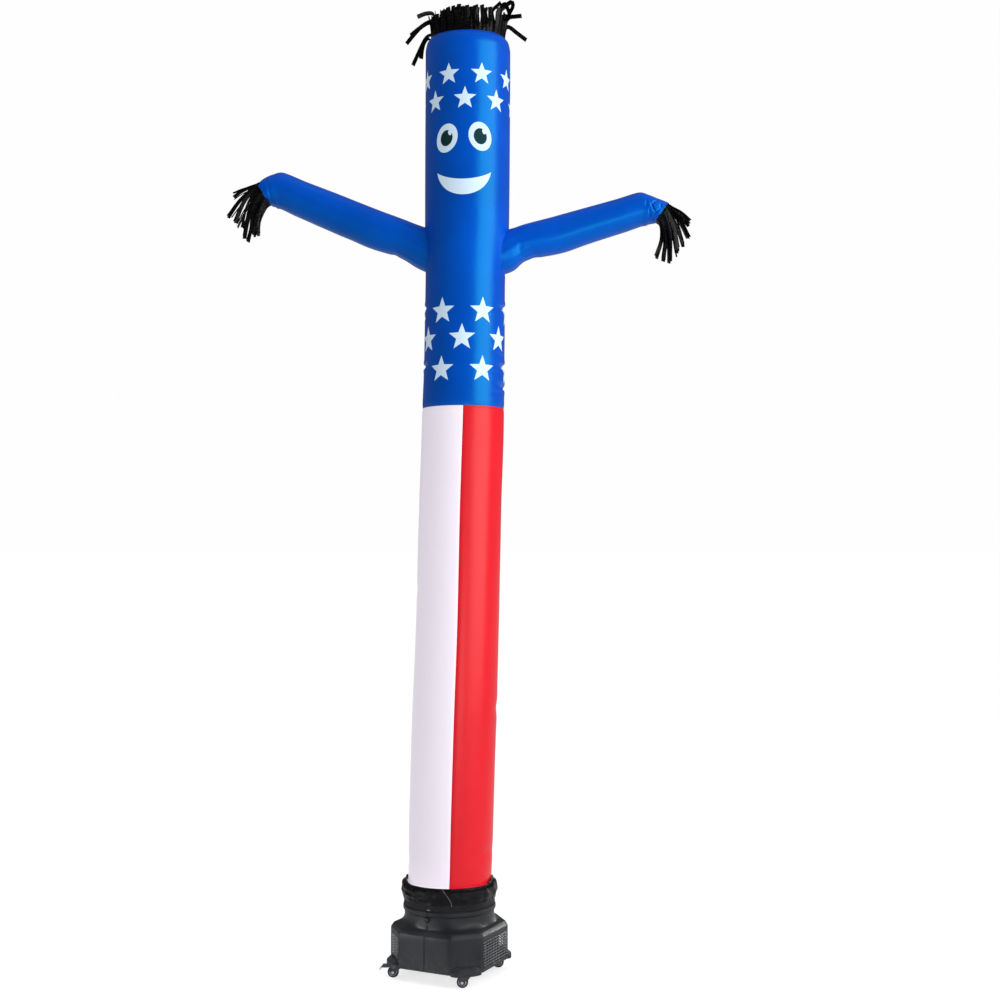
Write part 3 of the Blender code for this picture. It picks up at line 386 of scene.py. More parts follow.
# Sleeves: each row is a section, from inside the body to the open hand. They come before the
# body's cloth, because its sleeve holes follow them.
SLEEVES = {
    "left": [
        # reach from the blower's axis, height, half height, half depth, rise
        (-0.0150, 2.4230, 0.0760, 0.0700, 20.0),
        (0.0785, 2.4567, 0.0705, 0.0640, 21.0),
        (0.1513, 2.4905, 0.0630, 0.0600, 21.0),
        (0.2499, 2.5257, 0.0655, 0.0620, 21.0),
        (0.4063, 2.5913, 0.0632, 0.0620, 21.0),
        (0.5049, 2.6325, 0.0612, 0.0600, 15.0),
        (0.5797, 2.6639, 0.0611, 0.0600, 6.4),
        (0.6010, 2.6629, 0.0546, 0.0605, -2.7),
        (0.6203, 2.6588, 0.0483, 0.0600, -14.5),
        (0.6358, 2.6515, 0.0401, 0.0570, -30.0),
    ],
    "right": [
        (0.1050, 2.4255, 0.0740, 0.0680, 12.0),
        (0.1965, 2.4480, 0.0705, 0.0640, 13.0),
        (0.2506, 2.4747, 0.0595, 0.0580, 13.0),
        (0.3723, 2.5030, 0.0627, 0.0600, 14.0),
        (0.4573, 2.5288, 0.0597, 0.0600, 16.0),
        (0.5797, 2.5641, 0.0571, 0.0580, 14.0),
        (0.6509, 2.5851, 0.0564, 0.0560, 7.1),
        (0.6749, 2.5832, 0.0486, 0.0570, 0.0),
        (0.6973, 2.5783, 0.0415, 0.0560, -11.5),
        (0.7217, 2.5720, 0.0372, 0.0520, -33.0),
    ],
}
SIDE_WAY = {"left": -1.0, "right": 1.0}
SLEEVE_END = 9.0           # number of the last section
HAND_WRINKLES = [
    # side, section, azimuth round the sleeve (0 top, 180 below, 270 front), half spread, half
    # width, depth, slope in sections to a degree
    ("left", 7.35, 250.0, 60.0, 0.45, 0.0020, 0.0),
    ("left", 6.60, 205.0, 50.0, 0.40, 0.0018, 0.002),
    ("left", 3.40, 190.0, 60.0, 0.25, 0.0014, 0.0),
    ("left", 2.15, 185.0, 70.0, 0.22, 0.0030, 0.0),
    ("right", 7.75, 300.0, 26.0, 0.24, 0.0060, 0.018),
    ("right", 7.55, 268.0, 24.0, 0.20, 0.0065, -0.022),
    ("right", 8.20, 250.0, 22.0, 0.22, 0.0050, 0.020),
    ("right", 7.10, 236.0, 34.0, 0.26, 0.0036, -0.008),
    ("right", 8.45, 288.0, 18.0, 0.18, 0.0036, -0.012),
    ("right", 7.95, 215.0, 26.0, 0.24, 0.0030, 0.010),
    ("right", 6.55, 285.0, 30.0, 0.30, 0.0018, 0.004),
    ("right", 2.25, 185.0, 70.0, 0.20, 0.0030, 0.0),
    ("right", 1.80, 250.0, 30.0, 0.22, 0.0022, 0.004),
]


def sleeve_point(side, section, turn):
    """A point of a sleeve: section counts the table's rows, turn is in degrees from the top."""
    table = [(float(i), *row) for i, row in enumerate(SLEEVES[side])]
    reach, height, half_height, half_depth, rise = (read_row(table, section, k) for k in range(1, 6))
    way = SIDE_WAY[side]
    angle = math.radians(rise)
    centre = Vector((AXIS_X + way * reach, 0.0, height))
    up = Vector((-way * math.sin(angle), 0.0, math.cos(angle)))
    swell = 1.0 + 0.05 * max(0.0, 1.0 - 0.5 * (SLEEVE_END - section)) * math.cos(math.radians(6.0 * turn))
    dent = 0.0
    for place, at, middle, spread, half, depth, slope in HAND_WRINKLES:
        if place == side:
            off = between(turn, middle)
            dent += depth * hill(off / spread) * hill((section - at - slope * off) / half)
    if section < 3.0:
        dent += 0.0016 * hill((section - 1.6) / 1.3) * (0.5 + 0.5 * math.cos(math.radians(13.0 * turn)))
    tall = (half_height * swell - dent) * math.cos(math.radians(turn))
    deep = (half_depth * swell - dent) * math.sin(math.radians(turn))
    return centre + up * tall + Vector((0.0, deep, 0.0))


def sleeve_start(side, turn):
    """The section where this line of the sleeve comes out of the body."""
    inside, outside = 0.0, 3.5
    for _ in range(22):
        middle = 0.5 * (inside + outside)
        point = sleeve_point(side, middle, turn)
        centre_x = AXIS_X + read_row(TUBE, point.z, 2)
        azimuth = math.degrees(math.atan2(point.x - centre_x, -point.y))
        if math.hypot(point.x - centre_x, point.y) < tube_radius(point.z, azimuth):
            inside = middle
        else:
            outside = middle
    return outside


def in_sleeve(point):
    """Whether a point of the body's cloth lies inside a sleeve's root."""
    side = "left" if point.x < AXIS_X + 0.06 else "right"
    root, second = SLEEVES[side][0], SLEEVES[side][1]
    way = SIDE_WAY[side]
    base = Vector((AXIS_X + way * root[0], 0.0, root[1]))
    line = Vector((AXIS_X + way * second[0], 0.0, second[1])) - base
    rest = point - base - line * ((point - base).dot(line) / line.dot(line))
    up = line.cross(Vector((0.0, 1.0, 0.0))).normalized()
    return (rest.dot(up) / 0.0655) ** 2 + (rest.y / 0.0600) ** 2 < 1.0


def new_group(name, given_names, result_names):
    """A group of material steps, a short way to add one, its inputs and its outputs."""
    group = bpy.data.node_groups.new(name, "ShaderNodeTree")
    for names, way in ((given_names, "INPUT"), (result_names, "OUTPUT")):
        for socket in names:
            group.interface.new_socket(socket, in_out=way, socket_type="NodeSocketFloat")
    given = group.nodes.new("NodeGroupInput")
    result = group.nodes.new("NodeGroupOutput")
    return group, partial(work_out, group), given.outputs, result.inputs


def flat_place(tree):
    """Across and along on a cloth's flat cut."""
    flat = tree.nodes.new("ShaderNodeUVMap")
    flat.uv_map = "flat"
    split = tree.nodes.new("ShaderNodeSeparateXYZ")
    tree.links.new(flat.outputs[0], split.inputs[0])
    return split.outputs["X"], split.outputs["Y"]


THREAD_PITCH = 0.0011
CHECK_PITCH = 0.0055


def weave_group():
    """Ripstop nylon: fine threads, a raised check every few millimetres, soft crinkles."""
    group, do, given, result = new_group("ripstop_weave", ["Girth", "Crinkle"], ["Height", "Tone"])
    share, along = flat_place(group)
    heights = []
    for line in (do("MULTIPLY", share, given["Girth"]), along):
        thread = do("SINE", do("MULTIPLY", line, 2.0 * math.pi / THREAD_PITCH))
        check = do("COSINE", do("MULTIPLY", line, 2.0 * math.pi / CHECK_PITCH))
        check = do("POWER", do("MAXIMUM", check, 0.0), 12.0)
        heights.append(do("MULTIPLY_ADD", thread, 0.10, do("MULTIPLY", check, 0.35)))
    cloud = cloudiness(group, 26.0, 2.0, 0.25, 0.75)
    fine = do("MULTIPLY", do("ADD", *heights), 0.10)
    group.links.new(do("MULTIPLY_ADD", cloud, given["Crinkle"], fine), result["Height"])
    group.links.new(cloudiness(group, 5.0, 3.0), result["Tone"])
    return group


def star_group():
    """A five-pointed star, one point up: 1 inside, 0 outside."""
    group, do, given, result = new_group("printed_star", ["Across", "Up", "Radius"], ["Mask"])
    across, up, radius = (given[name] for name in ("Across", "Up", "Radius"))
    fifth = math.pi / 5.0
    angle = do("ARCTAN2", across, up)
    folded = do("ABSOLUTE", do("WRAP", angle, fifth, -fifth))
    away = do("SQRT", do("MULTIPLY_ADD", across, across, do("MULTIPLY", up, up)))
    tip_x = do("SUBTRACT", do("MULTIPLY", away, do("COSINE", folded)), radius)
    tip_y = do("MULTIPLY", away, do("SINE", folded))
    notch = 0.42           # inner corners, as a part of the outer radius
    normal = Vector((notch * math.sin(fifth), 1.0 - notch * math.cos(fifth))).normalized()
    off = do("MULTIPLY_ADD", tip_x, normal[0], do("MULTIPLY", tip_y, normal[1]))
    mask = do("MULTIPLY_ADD", off, -1.0 / 0.0008, 0.5)
    group.links.new(do("MINIMUM", do("MAXIMUM", mask, 0.0), 1.0), result["Mask"])
    return group


def soft_step(tree, value, width=0.0008):
    """0 below nought, 1 above it, with a soft edge of the given width."""
    ramp = work_out(tree, "MULTIPLY_ADD", value, 1.0 / width, 0.5)
    return work_out(tree, "MINIMUM", work_out(tree, "MAXIMUM", ramp, 0.0), 1.0)


def oval(tree, across, up, middle, half, tilt=0.0):
    """How deep a point lies inside an oval, in metres, negative outside."""
    aside = work_out(tree, "SUBTRACT", across, middle[0])
    above = work_out(tree, "SUBTRACT", up, middle[1])
    lean = work_out(tree, "MULTIPLY_ADD", above, -tilt, aside)
    x = work_out(tree, "DIVIDE", lean, half[0])
    y = work_out(tree, "DIVIDE", above, half[1])
    away = work_out(tree, "SQRT", work_out(tree, "MULTIPLY_ADD", x, x, work_out(tree, "MULTIPLY", y, y)))
    return work_out(tree, "MULTIPLY", work_out(tree, "SUBTRACT", 1.0, away), 0.5 * (half[0] + half[1]))


STAR_ROWS = [
    # height, azimuth of one star, spacing in degrees, star's outer radius, cloth's radius
    (3.0105, 23.0, 45.0, 0.0392, 0.1437),
    (2.9270, 0.5, 45.0, 0.0392, 0.1437),
    (2.2290, 30.5, 60.0, 0.0462, 0.1350),
    (2.1390, 0.5, 60.0, 0.0462, 0.1345),
    (2.0350, 30.5, 60.0, 0.0462, 0.1350),
]
HEAD_RADIUS = 0.1437
EYES = [
    # across and up of the middle, tilt
    (-0.0625, 2.7985, 0.10),
    (0.0540, 2.8020, -0.10),
]
EYE_HALF = (0.0400, 0.0475)
PUPIL_HALF = (0.0228, 0.0265)
GLINT_HALF = (0.0062, 0.0085)
SMILE_LOW = ((-0.0030, 2.7085), (0.0990, 0.0995))
SMILE_HIGH = ((-0.0030, 2.8415), (0.1840, 0.1810))
SMILE_CORNERS = 2.6905


def print_group(star):
    """The print on the body: stars in rings, two eyes and a smile, by azimuth and height."""
    group, do, _, result = new_group("body_print", [], ["White", "Ink", "Outline"])
    share, up = flat_place(group)
    azimuth = do("MULTIPLY", share, 360.0)
    white = 0.0
    for height, first, spacing, radius, girth in STAR_ROWS:
        cell = do("WRAP", do("SUBTRACT", azimuth, first), 0.5 * spacing, -0.5 * spacing)
        shape = group.nodes.new("ShaderNodeGroup")
        shape.node_tree = star
        group.links.new(do("MULTIPLY", cell, math.radians(girth)), shape.inputs["Across"])
        group.links.new(do("SUBTRACT", up, height), shape.inputs["Up"])
        shape.inputs["Radius"].default_value = radius
        white = do("MAXIMUM", white, shape.outputs[0])
    across = do("MULTIPLY", azimuth, math.radians(HEAD_RADIUS))
    ink = 0.0
    edge = -1.0
    for x, y, tilt in EYES:
        ball = oval(group, across, up, (x, y), EYE_HALF, tilt)
        pupil = oval(group, across, up, (x, y), PUPIL_HALF, 0.6 * tilt)
        glint = oval(group, across, up, (x + 0.0125, y + 0.0165), GLINT_HALF, -0.2)
        edge = do("MAXIMUM", edge, ball)
        dark = do("MULTIPLY", soft_step(group, pupil), do("SUBTRACT", 1.0, soft_step(group, glint)))
        ink = do("MAXIMUM", ink, dark)
    below = oval(group, across, up, *SMILE_LOW)
    above = do("MULTIPLY", oval(group, across, up, *SMILE_HIGH), -1.0)
    lid = do("SUBTRACT", SMILE_CORNERS, up)
    smile = do("SMOOTH_MIN", do("MINIMUM", below, above), lid, 0.006)
    edge = do("MAXIMUM", edge, smile)
    white = do("MAXIMUM", white, soft_step(group, edge))
    group.links.new(white, result["White"])
    group.links.new(ink, result["Ink"])
    group.links.new(soft_step(group, do("ADD", edge, 0.0016)), result["Outline"])
    return group


def stitch_group():
    """Two rows of lock stitch beside a seam at a height."""
    group, do, given, result = new_group("stitched_edge", ["Girth", "Seam", "Side"], ["Thread"])
    share, along = flat_place(group)
    across = do("MULTIPLY", share, given["Girth"])
    up = do("MULTIPLY", do("SUBTRACT", along, given["Seam"]), given["Side"])
    dash = do("SUBTRACT", 0.0011, do("ABSOLUTE", do("WRAP", across, 0.0016, -0.0016)))
    thread = 0.0
    for row in (0.0035, 0.0095):
        off = do("ABSOLUTE", do("SUBTRACT", up, row))
        line = soft_step(group, do("SUBTRACT", 0.0004, off), 0.0003)
        thread = do("MAXIMUM", thread, do("MULTIPLY", line, soft_step(group, dash, 0.0003)))
    group.links.new(thread, result["Thread"])
    return group


WEAVE = weave_group()
STITCHED = stitch_group()


def nylon(name, colour, sheen, glow, girth, stitches=(), body_print=None, crinkle=0.5, shade=0.82):
    """Satin ripstop nylon: its colour, the tint and strength of its sheen, a painted glow that
    stands in for light shining through it, its stitch rows and its print."""
    material, tree, shader = finish_of(name, 0.29, specular=sheen[3])
    shader.inputs["Specular Tint"].default_value = (*sheen[:3], 1.0)
    # The glow is painted light: an emission in the cloth's own colour that stands in for light shining
    # through it.
    shader.inputs["Emission Strength"].default_value = glow
    if not body_print:
        shader.inputs["Emission Color"].default_value = (*colour, 1.0)
    weave = tree.nodes.new("ShaderNodeGroup")
    weave.node_tree = WEAVE
    weave.inputs["Girth"].default_value = girth
    weave.inputs["Crinkle"].default_value = crinkle
    deep = tuple(shade * part for part in colour)
    paint = blend_colours(tree, weave.outputs["Tone"], deep, colour)
    if body_print:
        printed = tree.nodes.new("ShaderNodeGroup")
        printed.node_tree = body_print
        paint = blend_colours(tree, printed.outputs["Outline"], paint, SHADOW_BLUE)
        paint = blend_colours(tree, printed.outputs["White"], paint, PRINT_WHITE)
        paint = blend_colours(tree, printed.outputs["Ink"], paint, INK)
        # The printed white glows: painted light that stands in for light shining through the printed cloth.
        bare = work_out(tree, "SUBTRACT", printed.outputs["White"], printed.outputs["Ink"])
        lit = blend_colours(tree, work_out(tree, "MAXIMUM", bare, 0.0), (0.0, 0.0, 0.0), PRINT_WHITE)
        tree.links.new(lit, shader.inputs["Emission Color"])
        matt = work_out(tree, "MULTIPLY_ADD", printed.outputs["Ink"], 0.5, 0.29)
        tree.links.new(matt, shader.inputs["Roughness"])
    height = weave.outputs["Height"]
    for seam, side in stitches:
        edge = tree.nodes.new("ShaderNodeGroup")
        edge.node_tree = STITCHED
        edge.inputs["Girth"].default_value = girth
        edge.inputs["Seam"].default_value = seam
        edge.inputs["Side"].default_value = side
        thread = tuple(min(0.9, 0.5 * part + 0.03) for part in colour)
        paint = blend_colours(tree, edge.outputs["Thread"], paint, thread)
        height = work_out(tree, "MULTIPLY_ADD", edge.outputs["Thread"], 0.6, height)
    tree.links.new(paint, shader.inputs["Base Color"])
    raise_surface(tree, shader, height, 0.0006)
    return material


TORSO_GIRTH = 2.0 * math.pi * 0.139
BLUE_SHEEN = (0.04, 0.90, 1.0, 0.85)
blue_print = nylon(
    "blue_printed_nylon", BLUE, BLUE_SHEEN, PRINT_PAINTED_GLOW, TORSO_GIRTH, [(WAIST, 1.0), (3.163, -1.0)],
    print_group(star_group()),
)
torso_marks = steps_between(-180.0, 180.0, 2.0)
torso_heights = steps_between(WAIST + 0.0002, 3.110, 0.0065) + steps_between(3.115, HEAD_RIM, 0.0045)
torso_mesh = roll_cloth(
    torso_marks, torso_heights, lambda azimuth, height: tube_point(height, azimuth), 360.0
)
hole_faces = [face for face in torso_mesh.faces if in_sleeve(face.calc_center_median())]
bmesh.ops.delete(torso_mesh, geom=hole_faces, context="FACES")
torso = close_and_keep("body_blue", torso_mesh, blue_print, facing=Vector((AXIS_X + 0.055, 0.0, 2.5)))
give_wall(torso, CLOTH)
settle(torso, "blue_nylon", "torso_blue")


# Sleeves: a tapered blue tube each side, sewn into the body's hole on a puckered seam. The hand's
# end droops, and its hem is gathered round the fringe.

blue_sleeve = nylon("blue_sleeve_nylon", BLUE, BLUE_SHEEN, 0.0, 0.385, [(1.0, -1.0)])
for side in ("left", "right"):
    sleeve_marks = steps_between(0.0, 360.0, 3.75)
    starts = {mark: sleeve_start(side, mark) for mark in sleeve_marks}

    def sleeve_place(turn, share, side=side, starts=starts):
        start = starts[turn]
        return sleeve_point(side, start + (SLEEVE_END - start) * share, turn)

    sleeve_mesh = roll_cloth(sleeve_marks, steps_between(0.0, 1.0, 0.0095), sleeve_place, 360.0)
    middle_row = SLEEVES[side][4]
    sleeve_middle = Vector((AXIS_X + SIDE_WAY[side] * middle_row[0], 0.0, middle_row[1]))
    sleeve = close_and_keep("sleeve_" + side, sleeve_mesh, blue_sleeve, facing=sleeve_middle)
    give_wall(sleeve, CLOTH)
    settle(sleeve, "blue_nylon", "arm_" + side)


# Fringes: strips of shiny coated black nylon on a narrow tape inside each open end. On the head
# they stand up in the air stream and a few flop over the rim. On the hands they hang down.

strip_black, strip_tree, strip_shader = finish_of("strip_black", 0.20, specular=0.16)
strip_tone = blend_colours(
    strip_tree, cloudiness(strip_tree, 60.0), (0.0008, 0.0008, 0.0010), (0.0024, 0.0024, 0.003)
)
strip_tree.links.new(strip_tone, strip_shader.inputs["Base Color"])
raise_surface(strip_tree, strip_shader, cloudiness(strip_tree, 110.0, 2.0), 0.0010)
STRIP_WIDTH = 0.0145
STRIP_THICK = 0.0006
UP = Vector((0.0, 0.0, 1.0))


def smooth_path(points, steps):
    """Even points on a smooth curve through the given ones."""
    ends = [points[0] * 2.0 - points[1]] + points + [points[-1] * 2.0 - points[-2]]
    path = []
    for k in range(steps + 1):
        place = min(len(points) - 1.000001, (len(points) - 1) * k / steps)
        i = int(place)
        t = place - i
        a, b, c, d = ends[i:i + 4]
        path.append(0.5 * (2.0 * b + (c - a) * t + (2.0 * a - 5.0 * b + 4.0 * c - d) * t * t
                           + (3.0 * b - a - 3.0 * c + d) * t ** 3))
    return path


def lay_strip(mesh, points, side, width, twist=0.0, steps=10):
    """One loose strip along a path, cupped a little across and turned by the twist."""
    path = smooth_path(points, steps)
    patch = bmesh.ops.create_grid(mesh, x_segments=2, y_segments=steps, size=0.5)
    for vert in patch["verts"]:
        across = vert.co.x
        row = round((vert.co.y + 0.5) * steps)
        ahead = (path[min(row + 1, steps)] - path[max(row - 1, 0)]).normalized()
        flat = (side - ahead * side.dot(ahead)).normalized()
        proud = flat.cross(ahead)
        turn = twist * min(1.0, 1.7 * row / steps)
        flat = flat * math.cos(turn) + proud * math.sin(turn)
        proud = flat.cross(ahead)
        cup = 0.0016 * (1.0 - 4.0 * across * across)
        slant = 0.16 * width * across if row == steps else 0.0
        vert.co = path[row] + flat * width * across + proud * cup + ahead * slant


HEAD_CENTRE = Vector((AXIS_X + 0.063, 0.0, 3.160))
HEAD_ROOT_RADIUS = 0.1243
FLOPPED = [
    # azimuth, then outward and up from the root in millimetres
    (-62.0, [(0, 0), (0, 45), (0, 78), (9, 88), (34, 82), (60, 68)]),
    (-85.0, [(0, 0), (-4, 40), (-10, 66), (0, 78), (30, 62), (60, 30), (84, 0)]),
    (-72.0, [(0, 0), (-1, 35), (2, 58), (18, 60), (45, 40), (74, 14)]),
    (-104.0, [(0, 0), (0, 30), (10, 44), (28, 34), (48, 0), (75, -54)]),
    (-90.0, [(0, 0), (4, 16), (14, 20), (26, 8), (33, -18), (36, -46)]),
    (50.0, [(0, 0), (-6, 45), (-14, 82), (-6, 93), (10, 100), (29, 108)]),
    (75.0, [(0, 0), (-6, 45), (-17, 94), (4, 112), (29, 128), (36, 113), (24, 90), (12, 66)]),
    (62.0, [(0, 0), (0, 60), (6, 98), (20, 112), (30, 100), (38, 80)]),
    (84.0, [(0, 0), (2, 40), (6, 70), (18, 84), (40, 86), (60, 87)]),
    (97.0, [(0, 0), (0, 35), (4, 58), (18, 60), (42, 42), (75, 18)]),
    (150.0, [(0, 0), (0, 45), (8, 70), (26, 66), (48, 40), (60, 10)]),
    (-148.0, [(0, 0), (0, 40), (10, 62), (30, 56), (50, 26)]),
]
HEAD_PITCH = 360.0 / 52.0


def head_root(azimuth, out, up):
    """A point beside a strip's root, which follows the rim's tilt."""
    return HEAD_CENTRE + around(azimuth, HEAD_ROOT_RADIUS + out, up - rim_dip(HEAD_RIM, azimuth), 0.0)


head_fringe_mesh = bmesh.new()
for number in range(104):
    inner = number % 2 == 1
    azimuth = 0.5 * number * HEAD_PITCH + 1.2 * math.sin(1.9 * number)
    if not inner and any(abs(between(azimuth, flop[0])) < 3.2 for flop in FLOPPED):
        continue
    front = 0.5 + 0.5 * math.cos(math.radians(azimuth))
    tall = 0.108 - 0.016 * front + 0.0045 * math.sin(2.4 * number) - (0.004 if inner else 0.0)
    tall -= 0.014 * hill(between(azimuth, -62.0) / 45.0)
    lean = 0.003 + 0.008 * math.sin(1.7 * number)
    sweep = 4.0 * math.sin(2.9 * number + 0.7)
    points = []
    for share in (0.0, 0.33, 0.66, 1.0):
        out = lean * share ** 2 - (0.0022 if inner else 0.0)
        points.append(head_root(azimuth + sweep * share ** 2, out, tall * share))
    along = around(azimuth + 90.0, 1.0, 0.0, 0.0)
    lay_strip(head_fringe_mesh, points, along, STRIP_WIDTH, 0.7 * math.sin(3.3 * number))
for number, (azimuth, route) in enumerate(FLOPPED):
    points = [head_root(azimuth, out / 1000.0, up / 1000.0) for out, up in route]
    along = around(azimuth + 90.0, 1.0, 0.0, 0.0)
    # A fallen strip turns its flat side to the front or the back
    facing_turn = 1.5 + 0.12 * math.sin(5.1 * number)
    lay_strip(head_fringe_mesh, points, along, STRIP_WIDTH, facing_turn, 16)
tape = roll_cloth(
    steps_between(0.0, 360.0, 5.0), [0.0, 0.009, 0.0185],
    lambda azimuth, up: head_root(azimuth, 0.0003, up - 0.005), 360.0,
)
tape_data = bpy.data.meshes.new("head_tape")
tape.to_mesh(tape_data)
tape.free()
head_fringe_mesh.from_mesh(tape_data)
head_fringe = close_and_keep("fringe_of_head", head_fringe_mesh, strip_black, facing=HEAD_CENTRE)
give_wall(head_fringe, STRIP_THICK, 0.0)
settle(head_fringe, "strip_black", "fringe_head")

HAND_TIPS = {
    "left": [
        # a bunch's tip outward and down from the hem's middle, strips in it, their width
        (0.1085, -0.0034, 1, 0.0080),
        (0.1061, 0.0139, 2, 0.0120),
        (0.1200, 0.0799, 3, 0.0120),
        (0.0969, 0.1044, 4, 0.0125),
        (0.0762, 0.1136, 3, 0.0090),
        (0.0632, 0.1544, 6, 0.0130),
        (0.0391, 0.1414, 6, 0.0125),
        (0.0214, 0.1391, 5, 0.0125),
    ],
    "right": [
        (0.0928, 0.0289, 1, 0.0095),
        (0.0884, 0.0442, 2, 0.0115),
        (0.0870, 0.0894, 3, 0.0110),
        (0.0697, 0.1091, 4, 0.0115),
        (0.0490, 0.1299, 6, 0.0135),
        (0.0490, 0.1472, 1, 0.0060),
        (0.0235, 0.1670, 5, 0.0115),
        (0.0014, 0.1601, 6, 0.0135),
        (-0.0218, 0.1496, 4, 0.0125),
    ],
}
for side in ("left", "right"):
    way = SIDE_WAY[side]
    last = SLEEVES[side][-1]
    hem_centre = Vector((AXIS_X + way * last[0], 0.0, last[1]))
    droop = math.radians(last[4])
    out_of = Vector((way * math.cos(droop), 0.0, math.sin(droop)))
    fringe_mesh = bmesh.new()
    hang = SLEEVE_END - 0.55
    rim_middle = 0.5 * (sleeve_point(side, hang, 0.0) + sleeve_point(side, hang, 180.0))
    bunches = [bunch for bunch in HAND_TIPS[side] for _ in range(bunch[2])]
    for number, (reach, drop, _, width) in enumerate(bunches):
        # The roots go down the rim from its top, in front and behind by turns
        turn = 180.0 * (number + 0.5) / len(bunches) * (-1.0 if number % 2 else 1.0)
        rim = sleeve_point(side, hang, turn)
        root = rim + (rim_middle - rim).normalized() * (0.0042 + 0.0022 * (number // 2 % 2))
        fan = 0.4 * rim.y + 0.008 * math.sin(1.9 * number)
        stray = 0.0020 * math.sin(2.7 * number)
        low = drop + 0.0050 * math.sin(4.1 * number) - 0.003
        tip = hem_centre + Vector((way * (reach + stray), fan, -low))
        mouth = root + out_of * 0.022
        knee = mouth.lerp(tip, 0.45) + out_of * 0.012 + UP * 0.006
        along = out_of.cross(rim - rim_middle).normalized()
        facing_turn = 1.2 * math.cos(math.radians(turn)) + 0.35 * math.sin(2.3 * number)
        lay_strip(fringe_mesh, [root, mouth, knee, tip], along, width, facing_turn)
    hand_fringe = close_and_keep("fringe_of_hand_" + side, fringe_mesh, strip_black, facing=hem_centre)
    give_wall(hand_fringe, STRIP_THICK, 0.0)
    settle(hand_fringe, "strip_black", "fringe_" + side)


# Legs: four long panels of the same nylon, white and red by turns, sewn edge to edge and to the
# body above. A seam runs down the front, the back and both sides, and draws the cloth in a little.

LEG_BOTTOM = 0.3132
WHITE = (0.63, 0.585, 0.655)
RED = (0.78, 0.009, 0.021)
LEG_GIRTH = 2.0 * math.pi * 0.140
# The white panels glow strongly and the red ones a little: painted light that stands in for light shining
# through the thin cloth.
white_leg = nylon(
    "white_nylon", WHITE, (1.0, 0.9, 1.0, 0.25), 0.68, LEG_GIRTH, [(WAIST, -1.0)], crinkle=0.4, shade=0.97
)
red_leg = nylon("red_nylon", RED, (1.0, 0.60, 0.55, 0.50), 0.08, LEG_GIRTH, [(WAIST, -1.0)], shade=0.94)
SEAM_TURN = 4.2            # the seams lie this far round from straight ahead
LEG_PANELS = [
    # name, node, first azimuth before that turn, material, slot
    ("leg_front_left", "panel_front_left", -90.0, white_leg, "white_nylon"),
    ("leg_back_left", "panel_back_left", -180.0, red_leg, "red_nylon"),
    ("leg_back_right", "panel_back_right", 90.0, white_leg, "white_nylon"),
    ("leg_front_right", "panel_front_right", 0.0, red_leg, "red_nylon"),
]


def leg_place(azimuth, height):
    point = tube_point(height, azimuth)
    centre = Vector((AXIS_X + read_row(TUBE, height, 2), 0.0, height))
    off = abs((azimuth - SEAM_TURN + 45.0) % 90.0 - 45.0)
    return point + (centre - point).normalized() * SEAM_PINCH * 0.8 * hill(off / 3.2)


for name, node, start, cloth, slot_name in LEG_PANELS:
    first = start + SEAM_TURN
    seam = 0.06            # degrees between a panel's edge and the seam's line
    marks = [first + seam, first + 0.8, first + 2.0] + steps_between(first + 3.5, first + 86.5, 2.3)
    marks += [first + 88.0, first + 89.2, first + 90.0 - seam]
    heights = [LEG_BOTTOM, 0.3150, 0.3172, 0.3192] + steps_between(0.3260, WAIST - 0.0160, 0.0105)
    heights += [WAIST - 0.011, WAIST - 0.007, WAIST - 0.0035, WAIST - 0.0002]
    leg_mesh = roll_cloth(marks, heights, leg_place, 360.0)
    outside = around(first + 45.0, 0.0, 1.1)
    leg = close_and_keep(name, leg_mesh, cloth, facing=outside)
    give_wall(leg, CLOTH)
    settle(leg, slot_name, node)


# Collar: a strip of coated black nylon wound once round the foot, its end tucked under its start.
# It is gathered on a drawstring, grips the blower's hook tape, and is crinkled all over.

COLLAR = [
    # height, radius, ripple
    (0.2600, 0.1568, 0.0007),
    (0.2690, 0.1575, 0.0013),
    (0.2840, 0.1634, 0.0022),
    (0.3060, 0.1634, 0.0018),
    (0.3140, 0.1534, 0.0003),
    (0.3178, 0.1538, 0.0006),
]
EARS = [
    # azimuth, half spread, lift, flare
    (-84.0, 34.0, 0.0150, -0.0070),
    (88.0, 34.0, 0.0135, -0.0070),
    (-176.0, 40.0, 0.0080, -0.0060),
]
LAP_HIGHLIGHT_SHARE = 0.0016          # part of a turn that the painted highlight along the lap's edge takes up
collar_black, collar_tree, collar_shader = finish_of("collar_black", 0.30, specular=0.20)
collar_tone = blend_colours(
    collar_tree, cloudiness(collar_tree, 45.0), (0.0012, 0.0012, 0.0016), (0.005, 0.005, 0.007)
)
collar_across, collar_up = flat_place(collar_tree)
# A pale grey line along the lap's edge is a painted highlight.
lap_highlight_mask = soft_step(collar_tree, work_out(collar_tree, "SUBTRACT", LAP_HIGHLIGHT_SHARE, collar_across), 0.0004)
collar_tone = blend_colours(collar_tree, lap_highlight_mask, collar_tone, (0.22, 0.22, 0.23))
# A broken lighter band along the lower hem is a painted highlight on the lit hem edge.
lit_hem_mask = soft_step(collar_tree, work_out(collar_tree, "SUBTRACT", 0.2610, collar_up), 0.0004)
lit_hem_mask = work_out(collar_tree, "MULTIPLY", lit_hem_mask, cloudiness(collar_tree, 9.0))
collar_tone = blend_colours(collar_tree, lit_hem_mask, collar_tone, (0.06, 0.06, 0.066))
collar_tree.links.new(collar_tone, collar_shader.inputs["Base Color"])
raise_surface(collar_tree, collar_shader, cloudiness(collar_tree, 58.0, 3.0), 0.0016)


